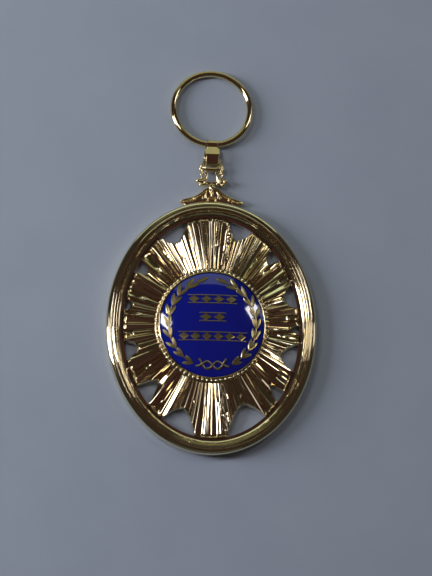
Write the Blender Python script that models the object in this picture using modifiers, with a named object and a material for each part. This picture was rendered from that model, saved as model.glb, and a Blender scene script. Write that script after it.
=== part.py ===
"""A gilt judge's badge lying face up: an oval moulded frame with a cast finial, a pierced sunburst plate,
a beaded bezel with a domed blue enamel disc, a gold wreath and three generic ornament rows on it, and a
strap bail and a plain ring that swing at the top. Metres, +Z out of the face, +Y towards the ring, and the
origin on the back under the middle of the disc."""

import math

import bmesh
import bpy
from mathutils import Matrix, Vector

MM = 0.001

# Clearances between pieces
SEAT_GAP = 0.10 * MM  # between pieces that are set into each other
INLAY_GAP = 0.06 * MM  # under the gold that lies on the enamel
SWING_GAP = 0.15 * MM  # round the bar and the ring's wire inside the bail

# Oval frame
FRAME_WIDTH = 49.6 * MM
FRAME_HEIGHT = 61.2 * MM
FRAME_DEPTH = 3.5 * MM
MOULDING_WIDTH = 3.2 * MM
EDGE_CHAMFER = 0.25 * MM
LEDGE_THICKNESS = 0.55 * MM  # the flange behind the sunburst plate
LIP_THICKNESS = 0.22 * MM  # the lip in front of it
PLATE_SEAT = 0.85 * MM  # how far the plate reaches under the lip
FRAME_STEPS = 68

# Front of the moulding from its outer wall to its lip, as shares of its width and of its height above the lip
MOULDING_COLUMNS = ("inward", "rise")
MOULDING_ROWS = (
    (0.00, 0.30),
    (0.04, 0.72),
    (0.11, 0.96),
    (0.19, 0.98),  # outer bead
    (0.25, 0.80),
    (0.31, 0.95),  # second bead
    (0.39, 0.90),
    (0.47, 0.58),
    (0.53, 0.36),  # deep groove
    (0.58, 0.54),
    (0.64, 0.60),  # thin bead
    (0.70, 0.48),
    (0.78, 0.20),  # hollow that falls to the lip
    (0.89, 0.04),
    (1.00, 0.00),
)

# Sunburst plate
PLATE_THICKNESS = 0.80 * MM  # at its flat rim
SUNBURST_RISE = 1.45 * MM  # from the rim up to the ridges beside the bezel
SUNBURST_RIM = 0.80 * MM  # flat rim that shows inside the frame's lip
RAY_BEVEL = 0.70 * MM  # sloped end of each ray
LAND_SHARE = 0.62  # height of the flat land under the bezel, as a share of the sunburst's rise
BACK_BOSS_WIDTH = 16.0 * MM
BOSS_STEPS = 40
FLUTES = 72

# Height of ridges and valleys on the way out, as shares of the sunburst's rise, and how far out they are
RAY_COLUMNS = ("outward", "ridge", "valley")
RAY_ROWS = (
    (0.00, 1.00, 0.70),
    (0.50, 0.78, 0.46),
    (1.00, 0.52, 0.20),
)

# Flutes in the order in which they repeat: half the flat on top, as a share of the pitch, and the ridge's
# height
FLUTE_COLUMNS = ("half_flat", "height")
FLUTE_ROWS = (
    (0.10, 1.00),
    (0.24, 0.86),
    (0.08, 0.96),
    (0.30, 0.78),
    (0.12, 1.00),
    (0.16, 0.88),
    (0.34, 0.92),
    (0.08, 0.84),
)

# Pierced gaps: the two ends of the outer side and the innermost point, in degrees of the oval's own parameter
# from +X, and the reach of the outer side and of the innermost point, as shares of the oval
GAP_COLUMNS = ("start", "end", "root", "outer", "inner")
GAP_ROWS = (
    (-2.9, 1.4, -0.9, 0.828, 0.765),
    (10.6, 23.5, 17.1, 0.842, 0.748),
    (38.8, 46.6, 42.7, 0.862, 0.756),
    (61.3, 78.9, 70.5, 0.886, 0.752),
    (106.7, 126.9, 117.8, 0.882, 0.752),
    (143.3, 151.5, 147.3, 0.852, 0.750),
    (166.8, 172.4, 169.9, 0.848, 0.786),
    (188.7, 198.7, 193.7, 0.842, 0.730),
    (213.7, 225.0, 220.1, 0.846, 0.682),
    (236.8, 258.5, 247.2, 0.854, 0.706),
    (281.3, 307.4, 296.4, 0.852, 0.684),
    (318.1, 324.7, 321.6, 0.842, 0.730),
    (336.9, 351.0, 342.5, 0.818, 0.708),
)
GAP_SIDE_STEPS = 4
GAP_OUTER_STEPS = 3

# Bezel and enamel disc
ENAMEL_WIDTH = 24.3 * MM
ENAMEL_HEIGHT = 25.0 * MM
ENAMEL_EDGE = 0.45 * MM  # thickness at the rim
ENAMEL_RISE = 1.30 * MM  # dome above the rim
ENAMEL_FULLNESS = 2.6  # power of the dome's curve: 2 is a plain cap, more is flatter with a rounder edge
BEZEL_FLOOR = 0.40 * MM
BEZEL_LIP = 0.30 * MM  # smooth band next to the enamel
BEZEL_STAND = 0.18 * MM  # lip above the enamel's rim
BEAD_WIDTH = 0.95 * MM
BEAD_DROP = 0.12 * MM  # top of the beads below the lip
BEADS = 76
ENAMEL_STEPS = 56
DOME_RINGS = 5

# Gold on the enamel
INLAY_HEIGHT = 0.20 * MM
LEAF_LENGTH = 2.9 * MM
LEAF_WIDTH = 0.95 * MM
LEAF_PAIRS = 7
LEAF_SPLAY = math.radians(24)
STEM_WIDTH = 0.34 * MM
BRANCH_REACH = 0.83  # of the way from the middle of the disc to its edge
BRANCH_START = math.radians(-64)
BRANCH_END = math.radians(74)
BRANCH_STEPS = 14
KNOT_WIDTH = 7.4 * MM
KNOT_HEIGHT = 1.7 * MM
KNOT_REACH = 0.80
KNOT_WAVES = 1.5
KNOT_STEPS = 12
STACK_STEP = 0.012  # how much higher each crossing piece of gold stands than the one under it, as a share

# Ornament rows: the middle of each row above the middle of the disc, as a share of half its height, then the
# row's length as a share of the disc's width, and the number of lozenges
ROW_COLUMNS = ("name", "place", "length", "lozenges")
ROWS = (
    ("ornament_upper", 0.47, 0.48, 4),
    ("ornament_middle", 0.12, 0.26, 2),
    ("ornament_lower", -0.25, 0.66, 6),
)
LOZENGE_HEIGHT = 2.2 * MM

# Half of a lozenge's height along its pitch, as a share of its height
LOZENGE_COLUMNS = ("along", "half_height")
LOZENGE_ROWS = (
    (0.16, 0.00),
    (0.33, 0.25),
    (0.50, 0.50),
    (0.67, 0.25),
    (0.84, 0.00),
)
RULE_WIDTH = 0.30 * MM

# Ring and bail
RING_WIDTH = 20.3 * MM  # over the wire
RING_WIRE = 1.6 * MM
BAIL_REACH = 4.25 * MM  # from the eye's bar to the ring's wire
BAIL_WIDTH = 3.6 * MM
BAIL_TOP_WIDTH = 2.5 * MM
BAIL_FOOT_WIDTH = 3.0 * MM
BAIL_STRIP = 0.32 * MM
BAIL_SHOULDER = 0.25 * MM  # from the fold round the bar to where the strap starts to widen
BAIL_TAPER = 0.50 * MM  # length over which it widens or narrows
RING_STEPS = 48
WIRE_STEPS = 12
FOLD_STEPS = 9

# Finial
FINIAL_HEIGHT = 10.6 * MM  # from the top of the frame to the eye's bar
FINIAL_WIDTH = 15.6 * MM
FINIAL_DEPTH = 2.0 * MM
EYE_BAR = 0.9 * MM
EYE_ARM = 0.5 * MM
EYE_DEPTH = 1.3 * MM
EYE_DROP = 2.05 * MM  # from the bar down to the inside of the eye
EYE_SIDE_GAP = 0.12 * MM
EYE_FOOT = 0.85 * MM  # metal below the eye
EYE_HORN = 0.18 * MM  # arms above the bar
EYE_STEPS = 10

# Half of the finial's mantle from its peak to the tip of its leaf, as shares of half its width and of its
# height
MANTLE_COLUMNS = ("out", "up")
MANTLE_ROWS = (
    (0.00, 0.440),
    (0.07, 0.430),
    (0.10, 0.385),
    (0.19, 0.340),
    (0.28, 0.290),
    (0.38, 0.215),
    (0.50, 0.160),
    (0.62, 0.125),
    (0.74, 0.105),
    (0.86, 0.085),
    (0.95, 0.050),
    (1.00, 0.010),
)
FINIAL_FOOT = 0.3  # how deep the mantle is sunk into the moulding, as a share of the moulding's width
FOOT_STEPS = 6

LEDGE_LEVEL = 0.47  # above the frame's top, as a share of the finial's height
LEDGE_HEIGHT = 0.95 * MM
LEDGE_TOP_SHARE = 0.8  # its top's length as a share of its foot's
LEDGE_WIDTH = 5.2 * MM
LEG_SPREAD = 3.9 * MM  # over the two legs between the ledge and the eye
LEG_WIDTH = 0.9 * MM
FINIAL_STEP = 0.1 * MM  # how much thinner the ledge and the legs are on each face than what they join

# Scrolls on each side, which grow out of the part that carries them: half sizes and level above the frame's
# top, as shares of half the finial's width and of its height
SCROLL_COLUMNS = ("name", "up", "half_width", "half_height")
SCROLL_ROWS = (
    ("bulb", 0.860, 0.085, 0.095),
    ("small_volute", 0.640, 0.100, 0.062),
    ("volute", 0.500, 0.150, 0.100),
)
SCROLL_OVERHANG = 0.55  # of a scroll's half width, from its carrier's edge to its own middle
SCROLL_DEPTH = 1.8 * MM
SCROLL_LIFT = 0.2 * MM  # middle of the scrolls above the bar's level
SCROLL_SEGMENTS = 10
SCROLL_RINGS = 6

# Colours
GILT = (0.83, 0.62, 0.28, 1.0)
RING_GILT = (0.86, 0.64, 0.27, 1.0)
INLAY_GILT = (0.70, 0.54, 0.26, 1.0)
BLUE = (0.004, 0.014, 0.30, 1.0)

# Levels and places that follow from the sizes above
PLATE_BACK = LEDGE_THICKNESS + SEAT_GAP
PLATE_RIM_TOP = PLATE_BACK + PLATE_THICKNESS
LIP_UNDERSIDE = PLATE_RIM_TOP + SEAT_GAP
LIP_TOP = LIP_UNDERSIDE + LIP_THICKNESS
LAND = PLATE_RIM_TOP + LAND_SHARE * SUNBURST_RISE
BEZEL_BACK = LAND + SEAT_GAP
ENAMEL_BACK = BEZEL_BACK + BEZEL_FLOOR + SEAT_GAP
ENAMEL_RIM = ENAMEL_BACK + ENAMEL_EDGE
BEZEL_TOP = ENAMEL_RIM + BEZEL_STAND
BEZEL_INNER_WIDTH = ENAMEL_WIDTH + 2 * SEAT_GAP
BEZEL_INNER_HEIGHT = ENAMEL_HEIGHT + 2 * SEAT_GAP
BEZEL_WALL = BEZEL_LIP + BEAD_WIDTH
BEZEL_WIDTH = BEZEL_INNER_WIDTH + 2 * BEZEL_WALL
BEZEL_HEIGHT = BEZEL_INNER_HEIGHT + 2 * BEZEL_WALL
WIRE_FOLD = RING_WIRE / 2 + SWING_GAP + BAIL_STRIP  # outer radius of the bail's fold round the ring's wire
BAR_FOLD = EYE_BAR / 2 + SWING_GAP + BAIL_STRIP
HANG_LEVEL = WIRE_FOLD + SEAT_GAP / 2  # height of the bar and of the wire in the bail
BAR_Y = FRAME_HEIGHT / 2 + FINIAL_HEIGHT
WIRE_Y = BAR_Y + BAIL_REACH
RING_RADIUS = (RING_WIDTH - RING_WIRE) / 2
RING_TILT = math.asin((HANG_LEVEL - RING_WIRE / 2) / (2 * RING_RADIUS))
EYE_HALF = BAIL_FOOT_WIDTH / 2 + EYE_SIDE_GAP + EYE_ARM
EYE_TOP = BAR_Y + EYE_BAR / 2 + EYE_HORN
EYE_INSIDE = BAR_Y - EYE_DROP
EYE_BOTTOM = EYE_INSIDE - EYE_FOOT


def clear_scene():
    for obj in list(bpy.data.objects):
        bpy.data.objects.remove(obj)


def new_collection(name):
    collection = bpy.data.collections.new(name)
    bpy.context.scene.collection.children.link(collection)
    return collection


def material(name, colour, roughness, metallic):
    made = bpy.data.materials.new(name)
    made.use_nodes = True
    shader = made.node_tree.nodes["Principled BSDF"]
    shader.inputs["Base Color"].default_value = colour
    shader.inputs["Roughness"].default_value = roughness
    shader.inputs["Metallic"].default_value = metallic
    return made


def add_object(name, mesh, collection):
    obj = bpy.data.objects.new(name, mesh)
    collection.objects.link(obj)
    return obj


def adopt(name, collection):
    """Names the primitive that was just added and moves it into a collection."""
    obj = bpy.context.object
    obj.name = name
    for home in list(obj.users_collection):
        home.objects.unlink(obj)
    collection.objects.link(obj)
    return obj


def mesh_from(name, build):
    """A mesh that the given function fills through bmesh."""
    mesh = bpy.data.meshes.new(name)
    work = bmesh.new()
    build(work)
    bmesh.ops.recalc_face_normals(work, faces=work.faces)
    work.to_mesh(mesh)
    work.free()
    return mesh


def rows(columns, table):
    return [dict(zip(columns, row)) for row in table]


def oval_point(width, height, inset, turn):
    """A point of an oval at a parameter angle, moved inwards along the oval's normal."""
    across, along = width / 2, height / 2
    normal = Vector((math.cos(turn) / across, math.sin(turn) / along)).normalized()
    return Vector((across * math.cos(turn), along * math.sin(turn))) - inset * normal


def oval_reach(width, height, heading):
    """How far an oval reaches from its middle in a direction."""
    return 1 / math.hypot(2 * heading.x / width, 2 * heading.y / height)


def bridge_rings(work, rings):
    """Quads between closed rings of vertices, one ring to the next."""
    for lower, upper in zip(rings, rings[1:]):
        count = len(lower)
        for i in range(count):
            j = (i + 1) % count
            work.faces.new((lower[i], lower[j], upper[j], upper[i]))


def prism(name, outline, low, high, collection):
    """A closed outline of (x, y) points, filled and given its thickness."""

    def build(work):
        bottom = work.faces.new([work.verts.new((x, y, low)) for x, y in outline])
        lifted = bmesh.ops.extrude_face_region(work, geom=[bottom])
        top = [item for item in lifted["geom"] if isinstance(item, bmesh.types.BMVert)]
        bmesh.ops.translate(work, verts=top, vec=(0, 0, high - low))

    return add_object(name, mesh_from(name, build), collection)


def boolean(target, other, operation):
    modifier = target.modifiers.new(f"{operation.lower()} {other.name}", "BOOLEAN")
    modifier.operation = operation
    modifier.solver = "EXACT"
    modifier.object = other
    return modifier


def as_helper(obj):
    obj.hide_render = True
    obj.display_type = "WIRE"
    return obj


def to_mesh_object(obj, collection):
    """The evaluated object as a plain mesh object in the same place, its own removed."""
    graph = bpy.context.evaluated_depsgraph_get()
    name = obj.name
    mesh = bpy.data.meshes.new_from_object(obj.evaluated_get(graph))
    work = bmesh.new()
    work.from_mesh(mesh)
    bmesh.ops.remove_doubles(work, verts=work.verts, dist=0.000001)
    bmesh.ops.recalc_face_normals(work, faces=work.faces)
    work.to_mesh(mesh)
    work.free()
    place = obj.matrix_world.copy()
    bpy.data.objects.remove(obj)
    made = add_object(name, mesh, collection)
    made.matrix_world = place
    return made


def smooth(obj, degrees):
    obj.data.shade_smooth()
    obj.data.set_sharp_from_angle(angle=math.radians(degrees))


def poly_curve(name, points, collection):
    """A closed line of straight pieces in the XY plane."""
    curve = bpy.data.curves.new(name, "CURVE")
    curve.dimensions = "2D"
    curve.fill_mode = "NONE"
    spline = curve.splines.new("POLY")
    spline.points.add(len(points) - 1)
    for point, (x, y) in zip(spline.points, points):
        point.co = (x, y, 0, 1)
    spline.use_cyclic_u = True
    return add_object(name, curve, collection)


def frame_section():
    """The frame's cross-section as (inwards from its outer wall, height)."""
    face = [
        (row["inward"] * MOULDING_WIDTH, LIP_TOP + row["rise"] * (FRAME_DEPTH - LIP_TOP))
        for row in rows(MOULDING_COLUMNS, MOULDING_ROWS)
    ]
    seat = MOULDING_WIDTH - PLATE_SEAT
    back = [
        (MOULDING_WIDTH, LIP_UNDERSIDE),
        (seat, LIP_UNDERSIDE),
        (seat, LEDGE_THICKNESS),
        (MOULDING_WIDTH, LEDGE_THICKNESS),
        (MOULDING_WIDTH, 0),
        (EDGE_CHAMFER, 0),
        (0, EDGE_CHAMFER),
    ]
    return face + back


def make_frame(parts, helpers):
    """The moulding is its section swept round the oval, and the finial is soldered to it as one solid."""
    turns = [2 * math.pi * i / FRAME_STEPS for i in range(FRAME_STEPS)]
    oval = [oval_point(FRAME_WIDTH, FRAME_HEIGHT, 0, turn) for turn in turns]
    path = poly_curve("frame", oval, helpers)
    section = poly_curve("frame_section", frame_section(), helpers)
    path.data.bevel_mode = "OBJECT"
    path.data.bevel_object = section
    frame = to_mesh_object(path, parts)
    as_helper(section)
    for piece in finial_pieces(helpers):
        boolean(frame, piece, "UNION")
    return frame


def mantle_outline():
    """The mantle over the frame's top: its right side, a foot sunk into the moulding, and its left side."""
    top = FRAME_HEIGHT / 2
    side = [
        (row["out"] * FINIAL_WIDTH / 2, top + row["up"] * FINIAL_HEIGHT)
        for row in rows(MANTLE_COLUMNS, MANTLE_ROWS)
    ]
    tip_turn = math.acos(FINIAL_WIDTH / FRAME_WIDTH)
    foot = []
    for i in range(FOOT_STEPS):
        turn = tip_turn + (math.pi / 2 - tip_turn) * i / FOOT_STEPS
        point = oval_point(FRAME_WIDTH, FRAME_HEIGHT, FINIAL_FOOT * MOULDING_WIDTH, turn)
        foot.append((point.x, point.y))
    half = side + foot
    middle = (0, top - FINIAL_FOOT * MOULDING_WIDTH)
    return half + [middle] + [(-x, y) for x, y in reversed(half[1:])]


def eye_outline():
    """A U with two upright arms: outside from the left arm down and up, then back along its inside."""
    inner_half = EYE_HALF - EYE_ARM
    outer_middle = BAR_Y - max(EYE_DROP + EYE_FOOT - EYE_HALF, 0)
    inner_middle = BAR_Y - max(EYE_DROP - inner_half, 0)
    outer = []
    inner = []
    for i in range(EYE_STEPS + 1):
        turn = math.pi + math.pi * i / EYE_STEPS
        across, down = math.cos(turn), math.sin(turn)
        outer.append((EYE_HALF * across, outer_middle - (outer_middle - EYE_BOTTOM) * -down))
        inner.append((inner_half * across, inner_middle - (inner_middle - EYE_INSIDE) * -down))
    left_top = [(-inner_half, EYE_TOP), (-EYE_HALF, EYE_TOP)]
    right_top = [(EYE_HALF, EYE_TOP), (inner_half, EYE_TOP)]
    return left_top + outer + right_top + list(reversed(inner))


def finial_pieces(helpers):
    """Helpers that are joined to the frame: mantle, ledge, legs, eye, its bar and the scrolls."""
    top = FRAME_HEIGHT / 2
    low = HANG_LEVEL - FINIAL_DEPTH / 2
    high = HANG_LEVEL + FINIAL_DEPTH / 2
    eye_low = HANG_LEVEL - EYE_DEPTH / 2
    eye_high = HANG_LEVEL + EYE_DEPTH / 2
    pieces = [
        prism("finial_mantle", mantle_outline(), low, high, helpers),
        prism("finial_eye", eye_outline(), eye_low, eye_high, helpers),
    ]
    ledge_y = top + LEDGE_LEVEL * FINIAL_HEIGHT
    ledge_half = LEDGE_WIDTH / 2
    ledge_top_half = LEDGE_TOP_SHARE * ledge_half
    ledge = [
        (-ledge_half, ledge_y - LEDGE_HEIGHT / 2),
        (ledge_half, ledge_y - LEDGE_HEIGHT / 2),
        (ledge_top_half, ledge_y + LEDGE_HEIGHT / 2),
        (-ledge_top_half, ledge_y + LEDGE_HEIGHT / 2),
    ]
    pieces.append(prism("finial_ledge", ledge, low + FINIAL_STEP, high - FINIAL_STEP, helpers))
    leg_top = EYE_BOTTOM + 0.5 * EYE_FOOT
    leg_outer = LEG_SPREAD / 2
    leg_inner = leg_outer - LEG_WIDTH
    carriers = {"bulb": EYE_HALF - 0.2 * EYE_ARM, "small_volute": leg_outer, "volute": ledge_half}
    for side in (-1, 1):
        leg = [
            (side * leg_inner, ledge_y),
            (side * leg_outer, ledge_y),
            (side * 0.86 * leg_outer, leg_top),
            (side * 0.9 * leg_inner, leg_top),
        ]
        leg_low, leg_high = eye_low + FINIAL_STEP, eye_high - FINIAL_STEP
        pieces.append(prism("finial_leg", leg[::side], leg_low, leg_high, helpers))
        for scroll in rows(SCROLL_COLUMNS, SCROLL_ROWS):
            half_width = scroll["half_width"] * FINIAL_WIDTH / 2
            half_height = scroll["half_height"] * FINIAL_HEIGHT
            x = carriers[scroll["name"]] + SCROLL_OVERHANG * half_width
            bpy.ops.mesh.primitive_uv_sphere_add(segments=SCROLL_SEGMENTS, ring_count=SCROLL_RINGS)
            ball = adopt("finial_" + scroll["name"], helpers)
            ball.location = (side * x, top + scroll["up"] * FINIAL_HEIGHT, HANG_LEVEL + SCROLL_LIFT)
            ball.scale = (half_width, half_height, SCROLL_DEPTH / 2)
            pieces.append(ball)
    bar_length = 2 * EYE_HALF - EYE_ARM
    bar = cylinder("finial_bar", EYE_BAR / 2, bar_length, 12, helpers)
    bar.rotation_euler = (0, math.pi / 2, 0)
    bar.location = (0, BAR_Y, HANG_LEVEL)
    pieces.append(bar)
    return [as_helper(piece) for piece in pieces]


def cylinder(name, radius, depth, segments, collection):
    bpy.ops.mesh.primitive_cylinder_add(vertices=segments, radius=radius, depth=depth)
    return adopt(name, collection)


def flute_angles():
    """Parameter angles round the plate, three for each flute, each with its ridge's height, 0 in a valley."""
    pitch = 2 * math.pi / FLUTES
    shapes = rows(FLUTE_COLUMNS, FLUTE_ROWS)
    angles = []
    for i in range(FLUTES):
        shape = shapes[i % len(shapes)]
        start = i * pitch
        angles.append((start, 0.0))
        angles.append((start + (0.5 - shape["half_flat"]) * pitch, shape["height"]))
        angles.append((start + (0.5 + shape["half_flat"]) * pitch, shape["height"]))
    return angles


def sunburst_sections():
    """For each angle, the plate's points from the land under the bezel out to its edge, and down."""
    tip_inset = MOULDING_WIDTH + SUNBURST_RIM + RAY_BEVEL
    rim_inset = MOULDING_WIDTH + SUNBURST_RIM
    edge_inset = MOULDING_WIDTH - PLATE_SEAT + SEAT_GAP
    sections = []
    for turn, ridge in flute_angles():
        edge = oval_point(FRAME_WIDTH, FRAME_HEIGHT, edge_inset, turn)
        heading = edge.normalized()
        root = oval_reach(BEZEL_WIDTH, BEZEL_HEIGHT, heading) + SEAT_GAP
        tip = oval_point(FRAME_WIDTH, FRAME_HEIGHT, tip_inset, turn).length
        rim = oval_point(FRAME_WIDTH, FRAME_HEIGHT, rim_inset, turn).length
        section = [(root, LAND)]
        for row in rows(RAY_COLUMNS, RAY_ROWS):
            rise = row["valley"] + ridge * (row["ridge"] - row["valley"])
            reach = root + SEAT_GAP + row["outward"] * (tip - root - SEAT_GAP)
            section.append((reach, PLATE_RIM_TOP + rise * SUNBURST_RISE))
        section += [(rim, PLATE_RIM_TOP), (edge.length, PLATE_RIM_TOP), (edge.length, PLATE_BACK)]
        sections.append([(heading.x * reach, heading.y * reach, level) for reach, level in section])
    return sections


def gap_outline(gap):
    """A pierced gap: its sides fall along a curve to the root, and its outer side follows the rim."""
    start, end, root = (math.radians(gap[key]) for key in ("start", "end", "root"))
    outline = []
    for side, steps in ((start, range(GAP_SIDE_STEPS, 0, -1)), (end, range(0, GAP_SIDE_STEPS + 1))):
        for i in steps:
            share = i / GAP_SIDE_STEPS
            turn = root + (side - root) * share
            reach = gap["inner"] + (gap["outer"] - gap["inner"]) * share**2
            outline.append((turn, reach))
    for i in range(1, GAP_OUTER_STEPS):
        outline.append((end + (start - end) * i / GAP_OUTER_STEPS, gap["outer"]))
    return [
        (reach * FRAME_WIDTH / 2 * math.cos(turn), reach * FRAME_HEIGHT / 2 * math.sin(turn))
        for turn, reach in outline
    ]


def make_sunburst(parts, helpers):
    """The plate is lofted from its sections, given a boss on its back and pierced between the rays."""
    sections = sunburst_sections()

    def build(work):
        rings = []
        for points in zip(*sections):
            rings.append([work.verts.new(point) for point in points])
        bridge_rings(work, rings)
        work.faces.new(rings[0])
        work.faces.new(rings[-1])

    plate = add_object("sunburst", mesh_from("sunburst", build), parts)
    boss = cylinder("sunburst_boss", BACK_BOSS_WIDTH / 2, PLATE_RIM_TOP, BOSS_STEPS, helpers)
    boss.location = (0, 0, PLATE_RIM_TOP / 2)
    boolean(plate, as_helper(boss), "UNION")
    for i, gap in enumerate(rows(GAP_COLUMNS, GAP_ROWS)):
        hole = prism(f"gap_{i + 1}", gap_outline(gap), 0, PLATE_RIM_TOP + 2 * SUNBURST_RISE, helpers)
        boolean(plate, as_helper(hole), "DIFFERENCE")
    return plate


def bezel_rings():
    """Rings of the bezel from the edge of its floor, up the lip, over the beads and down to its back."""
    bead_top = BEZEL_TOP - BEAD_DROP
    bead_foot = BEZEL_BACK + BEZEL_FLOOR
    columns = ("inset", "level", "bead_inset", "bead_level")
    outer = BEZEL_WALL
    table = (
        (outer, BEZEL_BACK + BEZEL_FLOOR, 0, 0),
        (outer, BEZEL_TOP, 0, 0),
        (outer - BEZEL_LIP, BEZEL_TOP, 0, 0),
        (outer - BEZEL_LIP - 0.08 * BEAD_WIDTH, bead_top - 0.35 * BEAD_WIDTH, 0, 0.10 * BEAD_WIDTH),
        (0.55 * BEAD_WIDTH, bead_top - 0.35 * BEAD_WIDTH, 0, 0.35 * BEAD_WIDTH),
        (0.18 * BEAD_WIDTH, bead_foot, 0.18 * BEAD_WIDTH, 0.10 * BEAD_WIDTH),
        (0.18 * BEAD_WIDTH, BEZEL_BACK, 0, 0),
    )
    samples = (0.0, 1.0)
    count = BEADS * len(samples)
    rings = []
    for row in rows(columns, table):
        ring = []
        for i in range(count):
            turn = 2 * math.pi * i / count
            bead = samples[i % len(samples)]
            inset = row["inset"] - bead * row["bead_inset"]
            point = oval_point(BEZEL_WIDTH, BEZEL_HEIGHT, inset, turn)
            ring.append((point.x, point.y, row["level"] + bead * row["bead_level"]))
        rings.append(ring)
    return rings


def make_bezel(parts):
    def build(work):
        rings = [[work.verts.new(point) for point in ring] for ring in bezel_rings()]
        bridge_rings(work, rings)
        work.faces.new(rings[0])
        work.faces.new(rings[-1])

    return add_object("bezel", mesh_from("bezel", build), parts)


def dome_level(x, y):
    """Height of the enamel's face over a point of the disc."""
    share = math.hypot(2 * x / ENAMEL_WIDTH, 2 * y / ENAMEL_HEIGHT)
    return ENAMEL_RIM + ENAMEL_RISE * (1 - min(share, 1.0) ** ENAMEL_FULLNESS)


def make_enamel(parts):
    """A turned profile, drawn out a little along Y."""
    radius = ENAMEL_WIDTH / 2
    profile = [(0, dome_level(0, 0))]
    for i in range(1, DOME_RINGS + 1):
        share = math.sin(math.pi / 2 * i / DOME_RINGS)
        profile.append((radius * share, dome_level(radius * share, 0)))
    profile += [(radius, ENAMEL_BACK), (0, ENAMEL_BACK)]

    def build(work):
        points = [work.verts.new((x, 0, z)) for x, z in profile]
        for first, second in zip(points, points[1:]):
            work.edges.new((first, second))

    mesh = bpy.data.meshes.new("enamel")
    work = bmesh.new()
    build(work)
    work.to_mesh(mesh)
    work.free()
    disc = add_object("enamel", mesh, parts)
    screw = disc.modifiers.new("turn", "SCREW")
    screw.steps = ENAMEL_STEPS
    screw.render_steps = ENAMEL_STEPS
    screw.use_merge_vertices = True
    screw.merge_threshold = 0.00001
    disc = to_mesh_object(disc, parts)
    disc.data.transform(Matrix.Diagonal((1, ENAMEL_HEIGHT / ENAMEL_WIDTH, 1, 1)))
    return disc


def lay_on_dome(mesh):
    """Lays a flat shape, whose back is at height 0, on the enamel's face."""
    for vertex in mesh.vertices:
        vertex.co.z += dome_level(vertex.co.x, vertex.co.y) + INLAY_GAP


def strip_outline(points, width):
    """The outline of a flat strip of even width along a line of points."""
    left, right = [], []
    for i, point in enumerate(points):
        before = points[max(i - 1, 0)]
        after = points[min(i + 1, len(points) - 1)]
        along = (after - before).normalized()
        across = Vector((-along.y, along.x)) * width / 2
        left.append(point + across)
        right.append(point - across)
    return [tuple(point) for point in right + left[::-1]]


def branch_point(turn):
    across = BRANCH_REACH * ENAMEL_WIDTH / 2
    along = BRANCH_REACH * ENAMEL_HEIGHT / 2
    return Vector((across * math.cos(turn), along * math.sin(turn)))


def leaf_outline(foot, heading, length, width):
    """A pointed leaf from its foot along its heading."""
    along = Vector((math.cos(heading), math.sin(heading)))
    across = Vector((-along.y, along.x))
    columns = ("along", "across")
    table = ((0.0, 0.14), (0.35, 0.50), (0.75, 0.36), (1.0, 0.0))
    shape = rows(columns, table)
    right = [foot + along * p["along"] * length - across * p["across"] * width for p in shape]
    left = [foot + along * p["along"] * length + across * p["across"] * width for p in shape[:-1]]
    return [tuple(point) for point in right + left[::-1]]


def knot_line(sign):
    """One of the two wavy ribbons that cross under the wreath and meet its stems."""
    points = []
    middle = -KNOT_REACH * ENAMEL_HEIGHT / 2
    for i in range(KNOT_STEPS + 1):
        share = i / KNOT_STEPS
        x = (share - 0.5) * KNOT_WIDTH
        lift = (2 * share - 1) ** 2 * 0.35 * KNOT_HEIGHT
        wave = math.cos(math.pi * KNOT_WAVES * 2 * (share - 0.5))
        points.append(Vector((x, middle + lift + sign * KNOT_HEIGHT / 2 * wave)))
    return points


def make_wreath(parts, helpers):
    """Two leafy branches and the knot that ties them, laid on the enamel as one piece."""
    outlines = []
    for side in (-1, 1):
        stem = []
        for i in range(BRANCH_STEPS + 1):
            turn = BRANCH_START + (BRANCH_END - BRANCH_START) * i / BRANCH_STEPS
            point = branch_point(turn)
            stem.append(Vector((side * point.x, point.y)))
        knot_end = knot_line(1)[-1 if side > 0 else 0]
        stem = [knot_end] + stem
        outlines.append(strip_outline(stem, STEM_WIDTH))
        for i in range(LEAF_PAIRS + 1):
            share = (i + 0.35) / (LEAF_PAIRS + 0.35)
            turn = BRANCH_START + (BRANCH_END - BRANCH_START) * share
            foot = branch_point(turn)
            ahead = branch_point(turn + 0.01) - foot
            heading = math.atan2(ahead.y, ahead.x)
            splays = (0,) if i == LEAF_PAIRS else (-LEAF_SPLAY, LEAF_SPLAY)
            for splay in splays:
                outline = leaf_outline(foot, heading + splay, LEAF_LENGTH, LEAF_WIDTH)
                outlines.append([(side * x, y) for x, y in outline])
    for sign in (-1, 1):
        outlines.append(strip_outline(knot_line(sign), STEM_WIDTH))
    wreath = None
    for i, outline in enumerate(outlines):
        step = STACK_STEP * INLAY_HEIGHT * i
        piece = prism(f"wreath_{i}", outline, -step / 3, INLAY_HEIGHT + step, helpers)
        if wreath is None:
            wreath = piece
            continue
        boolean(wreath, as_helper(piece), "UNION")
    wreath.name = "wreath"
    wreath = to_mesh_object(wreath, parts)
    lay_on_dome(wreath.data)
    return wreath


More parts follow.
